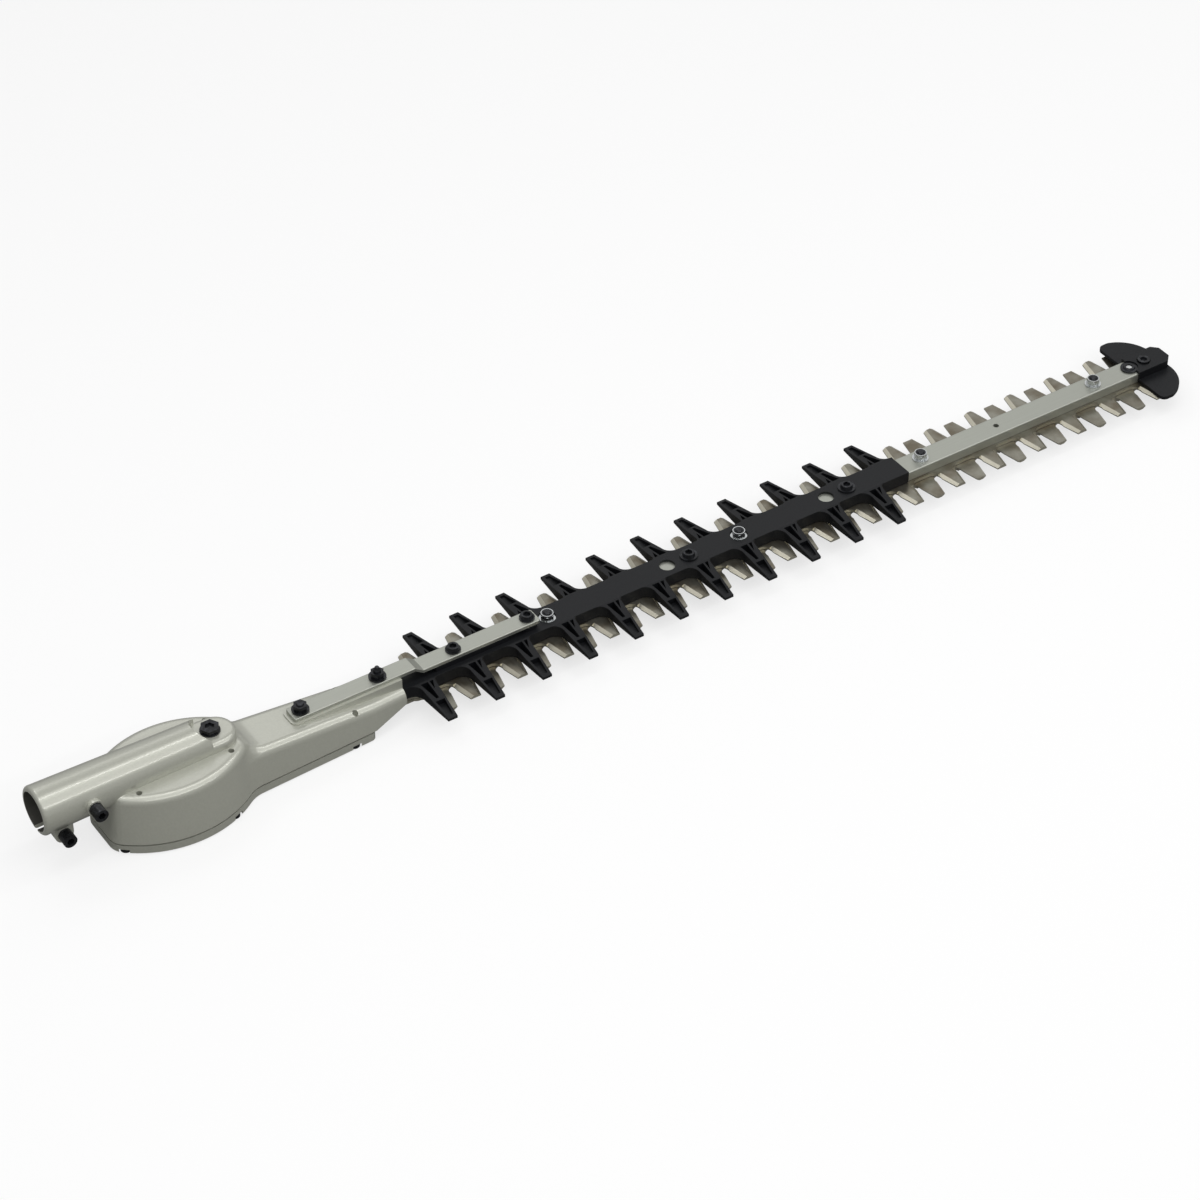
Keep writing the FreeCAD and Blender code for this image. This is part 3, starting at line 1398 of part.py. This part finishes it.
tooth_width = math.pi * v.gear_module / 2 - v.gear_backlash
pinion_angle = math.atan2(pinion_pitch, gear_pitch)
gear_angle = math.pi / 2 - pinion_angle
dedendum = TOOTH_DEPTH * v.gear_module


def pinion_shape():
    """Pinion with a shaft in two bearings and a square socket for the pole's drive shaft."""
    axis = X_AXIS * -1
    widths = [share * tooth_width for share in PINION_WIDTHS]
    root = pinion_pitch - dedendum * math.cos(pinion_angle)
    back = gear_pitch + dedendum * math.sin(pinion_angle)
    face = v.gear_face * math.cos(pinion_angle)
    blank = cone_frustum(axis, root, root * shrink, back, face)
    shaft_radius = v.bearing_bore - v.shaft_fit
    rear = float(rear_bearing_x) - v.circlip_thickness - 1
    front = v.crank_x - back
    shaft = rod(shaft_radius, point(rear, 0, 0), point(front + 1, 0, 0))
    shoulder = rod(root, point(front_bearing_x + d.bearing_width + d.run_gap, 0, 0), point(front, 0, 0))
    teeth = bevel_teeth(axis, Z_AXIS, v.pinion_teeth, pinion_angle, widths, 0.5)
    half = v.drive_square / 2
    socket = block((rear - 1, rear + v.drive_depth), (-half, half), (-half, half))
    return blank.multiFuse([shaft, shoulder] + teeth).removeSplitter().cut(socket)


def gear_shape():
    """Bevel gear with a rim, a web and a hub on the crankshaft's seat."""
    axis = Z_AXIS * -1
    widths = [share * tooth_width for share in GEAR_WIDTHS]
    teeth = bevel_teeth(axis, X_AXIS, v.gear_teeth, gear_angle, widths, 0.0)
    root_drop = pinion_pitch + dedendum * math.sin(gear_angle)
    root_radius = gear_pitch - dedendum * math.cos(gear_angle)
    inner = root_radius * shrink
    rim = cone_frustum(axis, root_radius, inner, root_drop, root_drop * (1 - shrink))
    under = root_drop + v.gear_web
    disc = rod(root_radius, apex + axis * root_drop, apex + axis * under)
    bore = rod(v.gear_seat_radius + v.bearing_fit, apex + axis * 2, apex + axis * (under + 10))
    hub = rod(v.gear_hub_radius, apex + axis * (root_drop * shrink), apex + axis * (under + v.gear_web))
    dish = Part.makeCone(inner - v.gear_module, v.gear_hub_radius, root_drop - root_drop * shrink,
                         apex + axis * (root_drop * shrink), axis)
    core = rim.cut(dish).multiFuse([disc, hub])
    return core.multiFuse(teeth).removeSplitter().cut(bore)


def crankshaft_shape():
    """Upright shaft with two eccentrics, opposite each other, at the level of the blades."""
    x = v.crank_x
    journal = v.bearing_bore - v.shaft_fit
    gear_under = pinion_pitch + dedendum * math.sin(gear_angle) + 2 * v.gear_web
    cheek = float(upper_top) + v.run_gap
    split = -v.blade_drop
    foot_top = float(lower_bottom) - v.cover_gap
    parts = [
        upright(journal, x, 0, -crank_bearing_top - 2, crank_bearing_top - v.run_gap),
        upright(v.gear_seat_radius, x, 0, -gear_under, -crank_bearing_top - v.run_gap),
        upright(v.gear_hub_radius, x, 0, cheek, -gear_under),
        upright(v.eccentric_radius, x, stroke, split, cheek + 1),
        upright(v.eccentric_radius, x, -stroke, foot_top, split),
        upright(v.foot_bore - v.shaft_fit, x, 0, cover_top - d.foot_width + v.run_gap, cheek),
    ]
    return parts[0].multiFuse(parts[1:]).removeSplitter()


def bearing(name, bore, outer, width):
    """Ball bearing as one ring, with the shields set back between its two races."""
    middle = (outer + bore) / 2
    groove = (outer - bore) / 6
    blank = ring(f"{name}_blank", outer, bore, width)
    shields = joined(f"{name}_shields", [
        carved(
            f"{name}_shield_{end}",
            cylinder(f"{name}_outer_{end}", middle + groove, d.bearing_groove, (0, 0, level)),
            cylinder(f"{name}_inner_{end}", middle - groove, d.bearing_groove, (0, 0, level)),
        )
        for end, level in (("low", 0), ("high", width - d.bearing_groove))
    ])
    return carved(name, blank, shields)


fixed("drive_pinion", pinion_shape())
fixed("crank_gear", gear_shape())
fixed("crankshaft", crankshaft_shape())

shaft_bearing = bearing("shaft_bearing", d.bearing_bore, d.bearing_outer, d.bearing_width)
foot_bearing = bearing("foot_bearing", d.foot_bore, d.foot_outer, d.foot_width)
doc.recompute()


def pinion_bearings():
    shapes = []
    for x in (rear_bearing_x, front_bearing_x):
        shape = shaft_bearing.Shape.copy()
        shape.Placement = FreeCAD.Placement(point(x, 0, 0), FreeCAD.Rotation(Z_AXIS, X_AXIS))
        shapes.append(shape)
    return fixed("pinion_bearings", Part.makeCompound(shapes))


pinion_bearings()
copies("upper_crank_bearing", shaft_bearing, [(v.crank_x, 0, crank_bearing_top - v.bearing_width)])
copies("lower_crank_bearing", foot_bearing, [(v.crank_x, 0, cover_top - d.foot_width)])


def circlip_shape():
    """Open spring ring in the groove behind the rear bearing."""
    outer = v.bearing_outer + v.circlip_depth - v.bearing_fit
    start = point(rear_bearing_x - d.circlip_thickness, 0, 0)
    end = point(rear_bearing_x, 0, 0)
    ring_solid = rod(outer, start, end).cut(rod(outer - v.circlip_ring - v.circlip_depth, start, end))
    half = v.circlip_ring
    gap = block((start.x - 1, end.x + 1), (-half, half), (0, outer + 1))
    return ring_solid.cut(gap)


fixed("pinion_circlip", circlip_shape())

# Check every object, then write one file for each sub-part

doc.recompute()
for item in doc.Objects:
    if "Invalid" in item.State or "Error" in item.State:
        raise RuntimeError(f"{item.Name} failed: {item.State}")
for item in sub_parts:
    if item.Shape.isNull() or not item.Shape.isValid():
        raise RuntimeError(f"{item.Label} has no valid shape")
os.makedirs("parts", exist_ok=True)
for item in sub_parts:
    item.Shape.exportStep(f"parts/{item.Label}.step")
    solids = len(item.Shape.Solids)
    print(f"{item.Label}: {solids} solid(s), {item.Shape.Volume / 1000:.2f} cm3")
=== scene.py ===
import json
import math

import bmesh
import bpy
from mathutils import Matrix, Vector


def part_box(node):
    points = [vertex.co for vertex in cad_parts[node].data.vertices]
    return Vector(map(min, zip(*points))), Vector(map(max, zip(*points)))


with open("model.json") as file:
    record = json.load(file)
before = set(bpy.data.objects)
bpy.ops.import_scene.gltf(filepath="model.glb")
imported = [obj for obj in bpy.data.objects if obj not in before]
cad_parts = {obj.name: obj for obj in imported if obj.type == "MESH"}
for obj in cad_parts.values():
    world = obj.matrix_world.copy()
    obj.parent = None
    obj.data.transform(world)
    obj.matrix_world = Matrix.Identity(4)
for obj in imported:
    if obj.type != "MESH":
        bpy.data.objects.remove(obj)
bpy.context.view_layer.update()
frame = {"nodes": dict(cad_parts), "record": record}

MM = 0.001

# The pole's bore in the gear case
pole_socket = next(m["dims"] for m in frame["record"]["mounts"] if m["name"] == "pole_socket")
BORE_RADIUS = pole_socket["r_mm"] * MM
BORE_END = pole_socket["length_mm"] * MM

# The rear screw of the tip guard, whose middle gets a painted highlight: a glint painted as bright colour
TIP_SCREW_RADIUS = 6.0 * MM
TIP_SCREW_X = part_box("tip_screws")[0].x + TIP_SCREW_RADIUS
GLINT_RADIUS = 2.0 * MM


# Colours and nodes

# Numbered sockets of a colour mix: what goes in, and what comes out
SHARE, FIRST, SECOND = 0, 6, 7
MIXED = 2


def colour(hex_text):
    """Linear colour of an sRGB hex value."""
    parts = [int(hex_text[i:i + 2], 16) / 255 for i in (1, 3, 5)]
    linear = [p / 12.92 if p <= 0.04045 else ((p + 0.055) / 1.055) ** 2.4 for p in parts]
    return (*linear, 1.0)


def per_mm(size):
    """Pattern scale that gives blotches of about this many millimetres on coordinates in metres."""
    return 1.0 / (size * MM)


def add(tree, kind, sockets, **settings):
    """Adds one node with its settings. Each socket gets a value, or a link from another node's output."""
    node = tree.nodes.new("ShaderNode" + kind)
    for name, value in settings.items():
        setattr(node, name, value)
    for key, value in sockets.items():
        if isinstance(value, bpy.types.NodeSocket):
            tree.links.new(value, node.inputs[key])
        else:
            node.inputs[key].default_value = value
    return node.outputs


def empty_tree(owner):
    """The emptied node tree of a material or of the surroundings."""
    owner.use_nodes = True
    owner.node_tree.nodes.clear()
    return owner.node_tree


def new_material(name):
    """A material with its node tree and the coordinates of the piece that it covers."""
    made = bpy.data.materials.new(name)
    tree = empty_tree(made)
    return made, tree, add(tree, "TexCoord", {})["Object"]


def cover(tree, finish):
    """Gives the surface its finish: what the shader's sockets hold."""
    shader = add(tree, "BsdfPrincipled", finish)
    add(tree, "OutputMaterial", {"Surface": shader["BSDF"]})


# Materials

def silver_lacquer():
    """Silver lacquer sprayed on die-cast aluminium: a warm grey with soft, clear highlights. Its metal flakes
    give a barely visible mottling, drawn 1.4 mm wide because single flakes are too fine to show, and the
    spray leaves a faint orange peel. The pole's bore is uncoated turned metal, painted a darker grey as
    painted shade inside the tube."""
    made, tree, place = new_material("silver_lacquer")
    flakes = add(tree, "TexNoise", {"Vector": place, "Scale": per_mm(1.4)})["Fac"]
    mottling = add(tree, "MapRange", {"Value": flakes, "From Min": 0.3, "From Max": 0.7})["Result"]
    lacquer = {SHARE: mottling, FIRST: colour("#b0b1a6"), SECOND: colour("#b5b6ab")}
    painted = add(tree, "Mix", lacquer, data_type="RGBA")[MIXED]

    across = add(tree, "VectorMath", {0: place, 1: (0.0, 1.0, 1.0)}, operation="MULTIPLY")["Vector"]
    bore_wall = {
        "Value": add(tree, "VectorMath", {0: across}, operation="LENGTH")["Value"],
        "From Min": BORE_RADIUS + 0.15 * MM,
        "From Max": BORE_RADIUS + 0.05 * MM,
    }
    bore_depth = {
        "Value": add(tree, "SeparateXYZ", {"Vector": place})["X"],
        "From Min": BORE_END + 1 * MM,
        "From Max": BORE_END,
        "To Max": add(tree, "MapRange", bore_wall)["Result"],
    }
    # Painted shade: the inside of the pole's bore is coloured darker grey to stand for the shade inside the
    # tube.
    bare_bore_shade = add(tree, "MapRange", bore_depth)["Result"]
    case_and_bore_shade = {SHARE: bare_bore_shade, FIRST: painted, SECOND: colour("#5b5a55")}

    peel = add(tree, "TexNoise", {"Vector": place, "Scale": per_mm(4.0), "Detail": 1.0})["Fac"]
    cover(tree, {
        "Base Color": add(tree, "Mix", case_and_bore_shade, data_type="RGBA")[MIXED],
        "Metallic": 0.35,
        "Roughness": 0.3,
        "Coat Weight": 0.8,
        "Coat Roughness": 0.07,
        "Normal": add(tree, "Bump", {"Height": peel, "Strength": 1.0, "Distance": 0.003 * MM})["Normal"],
    })
    return made


def satin_aluminium():
    """Drawn aluminium strip with a satin finish: pale grey with a fine grain along its length, drawn about
    1 mm wide because the real grain is too fine to show."""
    made, tree, place = new_material("satin_aluminium")
    drawn = {"Vector": place, "Scale": (40.0, 0.9, 0.9)}
    along = add(tree, "Mapping", drawn, vector_type="TEXTURE")["Vector"]
    grain = add(tree, "TexNoise", {"Vector": along, "Scale": per_mm(1.0), "Detail": 3.0})["Fac"]
    greys = {SHARE: grain, FIRST: colour("#a6a89f"), SECOND: colour("#b6b8b0")}
    sheen = {"Value": grain, "From Min": 0.25, "From Max": 0.75, "To Min": 0.36, "To Max": 0.48}
    cover(tree, {
        "Base Color": add(tree, "Mix", greys, data_type="RGBA")[MIXED],
        "Metallic": 0.85,
        "Roughness": add(tree, "MapRange", sheen)["Result"],
        "Normal": add(tree, "Bump", {"Height": grain, "Strength": 1.0, "Distance": 0.008 * MM})["Normal"],
    })
    return made


def blade_steel():
    """Hardened spring steel, browned by heat on its flats and ground bright on the slanted cutting edges. The
    grinding lines run across the blade, drawn 0.8 mm apart because the real ones are too fine to show."""
    made, tree, place = new_material("ground_blade_steel")
    ground_across = {"Vector": place, "Scale": (1.0, 14.0, 1.0)}
    across = add(tree, "Mapping", ground_across, vector_type="TEXTURE")["Vector"]
    lines = add(tree, "TexNoise", {"Vector": across, "Scale": per_mm(0.8)})["Fac"]
    cool_greys = {SHARE: lines, FIRST: colour("#86847a"), SECOND: colour("#9a988d")}
    cool = add(tree, "Mix", cool_greys, data_type="RGBA")[MIXED]

    patches = add(tree, "TexNoise", {"Vector": place, "Scale": per_mm(14.0), "Detail": 3.0})["Fac"]
    heat = add(tree, "MapRange", {"Value": patches, "From Min": 0.35, "From Max": 0.65})["Result"]
    browned = {SHARE: heat, FIRST: cool, SECOND: colour("#6f685a")}
    flats = add(tree, "Mix", browned, data_type="RGBA")[MIXED]

    facing = add(tree, "NewGeometry", {})["True Normal"]
    upward = add(tree, "SeparateXYZ", {"Vector": facing})["Z"]
    level = add(tree, "Math", {0: upward}, operation="ABSOLUTE")["Value"]
    slanted = add(tree, "MapRange", {"Value": level, "From Min": 0.98, "From Max": 0.9})["Result"]
    flats_and_edges = {SHARE: slanted, FIRST: flats, SECOND: colour("#bdb9aa")}

    sheen = {"Value": lines, "From Min": 0.3, "From Max": 0.7, "To Min": 0.28, "To Max": 0.4}
    cover(tree, {
        "Base Color": add(tree, "Mix", flats_and_edges, data_type="RGBA")[MIXED],
        "Metallic": 0.9,
        "Roughness": add(tree, "MapRange", sheen)["Result"],
        "Normal": add(tree, "Bump", {"Height": lines, "Strength": 1.0, "Distance": 0.006 * MM})["Normal"],
    })
    return made


def guard_plastic():
    """Black glass-filled nylon from an eroded mould: nearly black with a cool tint and a dull grain, drawn
    0.9 mm wide because the real grain is too fine to show."""
    made, tree, place = new_material("moulded_black_nylon")
    grain = add(tree, "TexNoise", {"Vector": place, "Scale": per_mm(0.9), "Detail": 3.0})["Fac"]
    blacks = {SHARE: grain, FIRST: colour("#090a0d"), SECOND: colour("#0f1115")}
    sheen = {"Value": grain, "From Min": 0.3, "From Max": 0.7, "To Min": 0.42, "To Max": 0.56}
    cover(tree, {
        "Base Color": add(tree, "Mix", blacks, data_type="RGBA")[MIXED],
        "Roughness": add(tree, "MapRange", sheen)["Result"],
        "Specular IOR Level": 0.3,
        "Normal": add(tree, "Bump", {"Height": grain, "Strength": 1.0, "Distance": 0.02 * MM})["Normal"],
    })
    return made


def black_oxide():
    """Black-oxide steel screws: an oily blue-black with a low sheen and rubbed patches. The rear screw at the
    tip has a painted highlight: a bright glint painted into the colour of its middle."""
    made, tree, place = new_material("black_oxide_steel")
    patches = add(tree, "TexNoise", {"Vector": place, "Scale": per_mm(2.2)})["Fac"]
    rubbed = add(tree, "MapRange", {"Value": patches, "From Min": 0.45, "From Max": 0.75})["Result"]
    blacks = {SHARE: rubbed, FIRST: colour("#17181b"), SECOND: colour("#303237")}
    oxide = add(tree, "Mix", blacks, data_type="RGBA")[MIXED]

    # Painted highlight: a small bright disc of colour in the middle of the rear tip screw stands for a glint
    # of light on its head.
    tip_screw = (TIP_SCREW_X, 0.0, 0.0)
    aside = add(tree, "VectorMath", {0: place, 1: tip_screw}, operation="SUBTRACT")["Vector"]
    level = add(tree, "VectorMath", {0: aside, 1: (1.0, 1.0, 0.0)}, operation="MULTIPLY")["Vector"]
    glint_ring = {
        "Value": add(tree, "VectorMath", {0: level}, operation="LENGTH")["Value"],
        "From Min": GLINT_RADIUS + 0.2 * MM,
        "From Max": GLINT_RADIUS,
    }
    painted_glint = add(tree, "MapRange", glint_ring)["Result"]
    oxide_and_glint = {SHARE: painted_glint, FIRST: oxide, SECOND: colour("#c6c8c7")}
    cover(tree, {
        "Base Color": add(tree, "Mix", oxide_and_glint, data_type="RGBA")[MIXED],
        "Metallic": 0.5,
        "Roughness": add(tree, "MapRange", {"Value": rubbed, "To Min": 0.32, "To Max": 0.22})["Result"],
    })
    return made


def bright_zinc():
    """Zinc-plated steel: bright, slightly blue, with faint cloudy patches of the plating."""
    made, tree, place = new_material("bright_zinc_plate")
    cloud = add(tree, "TexNoise", {"Vector": place, "Scale": per_mm(2.5)})["Fac"]
    greys = {SHARE: cloud, FIRST: colour("#a9acad"), SECOND: colour("#c4c6c6")}
    sheen = {"Value": cloud, "From Min": 0.3, "From Max": 0.7, "To Min": 0.2, "To Max": 0.3}
    cover(tree, {
        "Base Color": add(tree, "Mix", greys, data_type="RGBA")[MIXED],
        "Metallic": 1.0,
        "Roughness": add(tree, "MapRange", sheen)["Result"],
    })
    return made


def insert_nylon():
    """Dark nylon ring of a lock nut: matt with a soft mottling."""
    made, tree, place = new_material("insert_nylon")
    cloud = add(tree, "TexNoise", {"Vector": place, "Scale": per_mm(1.0)})["Fac"]
    greys = {SHARE: cloud, FIRST: colour("#191a1d"), SECOND: colour("#24262a")}
    cover(tree, {
        "Base Color": add(tree, "Mix", greys, data_type="RGBA")[MIXED],
        "Roughness": 0.55,
    })
    return made


def gasket_fibre():
    """Pressed gasket fibre: dark, dull and flecked."""
    made, tree, place = new_material("gasket_fibre")
    flecks = add(tree, "TexNoise", {"Vector": place, "Scale": per_mm(1.2), "Detail": 4.0})["Fac"]
    browns = {SHARE: flecks, FIRST: colour("#1c1b19"), SECOND: colour("#35332f")}
    cover(tree, {
        "Base Color": add(tree, "Mix", browns, data_type="RGBA")[MIXED],
        "Roughness": 0.8,
    })
    return made


def machined_steel():
    """Turned and ground steel of the drive: neutral grey with short tool lines around the upright axis, drawn
    about 0.3 mm apart because the real ones are too fine to show."""
    made, tree, place = new_material("machined_steel")
    flattened = {"Vector": place, "Scale": (1.0, 1.0, 0.4)}
    turned = add(tree, "Mapping", flattened, vector_type="TEXTURE")["Vector"]
    lines = add(tree, "TexNoise", {"Vector": turned, "Scale": per_mm(0.8)})["Fac"]
    greys = {SHARE: lines, FIRST: colour("#8b8d90"), SECOND: colour("#a5a7a9")}
    sheen = {"Value": lines, "From Min": 0.3, "From Max": 0.7, "To Min": 0.24, "To Max": 0.36}
    cover(tree, {
        "Base Color": add(tree, "Mix", greys, data_type="RGBA")[MIXED],
        "Metallic": 1.0,
        "Roughness": add(tree, "MapRange", sheen)["Result"],
    })
    return made


finishes = {
    "silver_paint": silver_lacquer(),
    "gasket_fibre": gasket_fibre(),
    "black_oxide": black_oxide(),
    "bar_aluminium": satin_aluminium(),
    "guard_plastic": guard_plastic(),
    "blade_steel": blade_steel(),
    "zinc_steel": bright_zinc(),
    "black_nylon": insert_nylon(),
    "bearing_steel": machined_steel(),
}
for part in frame["record"]["subparts"]:
    mesh = frame["nodes"][part["node"]].data
    mesh.materials.clear()
    mesh.materials.append(finishes[part["material_slot"]])


# Floor, light and camera

WHITE = (1.0, 1.0, 1.0, 1.0)

FLOOR_HALF = 20.0
FLOOR_CENTRE_X = 0.4
FLOOR_GAP = 0.2 * MM
FLOOR_WHITE_SHARE = 0.7

TENT_LIGHT = 0.42
TENT_SEEN = 1.0

CAMERA_PLACE = (-0.5865, -1.4863, 1.4885)
CAMERA_TILT = math.radians(49.72)
CAMERA_TURN = math.radians(-33.67)
FOCAL_LENGTH_MM = 108.96
SENSOR_WIDTH_MM = 36.0


def studio_floor():
    """Pale floor under the cover: white to the eye, with the part's own soft shadow left in it. It throws
    back less light than the eye sees, so that the sides keep their shade."""
    shape = bmesh.new()
    bmesh.ops.create_grid(shape, x_segments=1, y_segments=1, size=FLOOR_HALF)
    floor_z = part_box("case_cover")[0].z - FLOOR_GAP
    bmesh.ops.translate(shape, verts=shape.verts, vec=(FLOOR_CENTRE_X, 0, floor_z))
    mesh = bpy.data.meshes.new("studio_floor")
    shape.to_mesh(mesh)
    shape.free()
    floor = bpy.data.objects.new("studio_floor", mesh)
    bpy.context.scene.collection.objects.link(floor)

    made = bpy.data.materials.new("pale_floor")
    tree = empty_tree(made)
    eye = add(tree, "LightPath", {})["Is Camera Ray"]
    greys = {SHARE: eye, FIRST: colour("#8a8a88"), SECOND: colour("#f4f4f4")}
    shade = add(tree, "Mix", greys, data_type="RGBA")[MIXED]
    lit_and_white = {
        0: add(tree, "Math", {0: eye, 1: FLOOR_WHITE_SHARE}, operation="MULTIPLY")["Value"],
        1: add(tree, "BsdfDiffuse", {"Color": shade})["BSDF"],
        2: add(tree, "Emission", {"Color": WHITE, "Strength": 1.0})["Emission"],
    }
    add(tree, "OutputMaterial", {"Surface": add(tree, "MixShader", lit_and_white)["Shader"]})
    mesh.materials.append(made)


def studio_tent():
    """Even surroundings: full white where the eye looks, and dimmer as light and in reflections."""
    world = bpy.data.worlds.new("studio_tent")
    bpy.context.scene.world = world
    tree = empty_tree(world)
    eye = add(tree, "LightPath", {})["Is Camera Ray"]
    strength = add(tree, "MapRange", {"Value": eye, "To Min": TENT_LIGHT, "To Max": TENT_SEEN})["Result"]
    tent = add(tree, "Background", {"Color": WHITE, "Strength": strength})["Background"]
    add(tree, "OutputWorld", {"Surface": tent})


def softbox(name, place, length, width, brightness):
    """A lit rectangle along X that faces the part's long axis. A brightness of 1 is as bright as white."""
    light = bpy.data.lights.new(name, "AREA")
    light.shape = "RECTANGLE"
    light.size = length
    light.size_y = width
    light.energy = brightness * math.pi * length * width
    holder = bpy.data.objects.new(name, light)
    bpy.context.scene.collection.objects.link(holder)
    holder.location = place
    holder.rotation_euler = (math.atan2(-place[1], place[2]), 0, 0)


def photo_camera():
    """Camera at the photo's place, worked out from the tooth pitch, the bar and the pole tube."""
    lens = bpy.data.cameras.new("photo_camera")
    lens.sensor_width = SENSOR_WIDTH_MM
    lens.lens = FOCAL_LENGTH_MM
    holder = bpy.data.objects.new("photo_camera", lens)
    bpy.context.scene.collection.objects.link(holder)
    holder.location = CAMERA_PLACE
    holder.rotation_euler = (CAMERA_TILT, 0, CAMERA_TURN)
    bpy.context.scene.camera = holder


studio_floor()
studio_tent()
softbox("overhead_softbox", place=(0.55, -0.52, 1.3), length=3.2, width=1.3, brightness=0.95)
softbox("rear_softbox", place=(1.35, 1.35, 1.35), length=2.2, width=0.9, brightness=0.75)
softbox("left_softbox", place=(0.0, 0.9, 1.3), length=0.6, width=0.5, brightness=2.0)
# Two narrow strips give the bright lines along the pole tube and the rounded edges.
softbox("upper_strip", place=(0.55, -0.14, 1.3), length=3.2, width=0.07, brightness=6.0)
softbox("front_strip", place=(0.55, -1.69, 1.41), length=3.2, width=0.12, brightness=7.0)
photo_camera()
bpy.context.scene.view_settings.view_transform = "Standard"
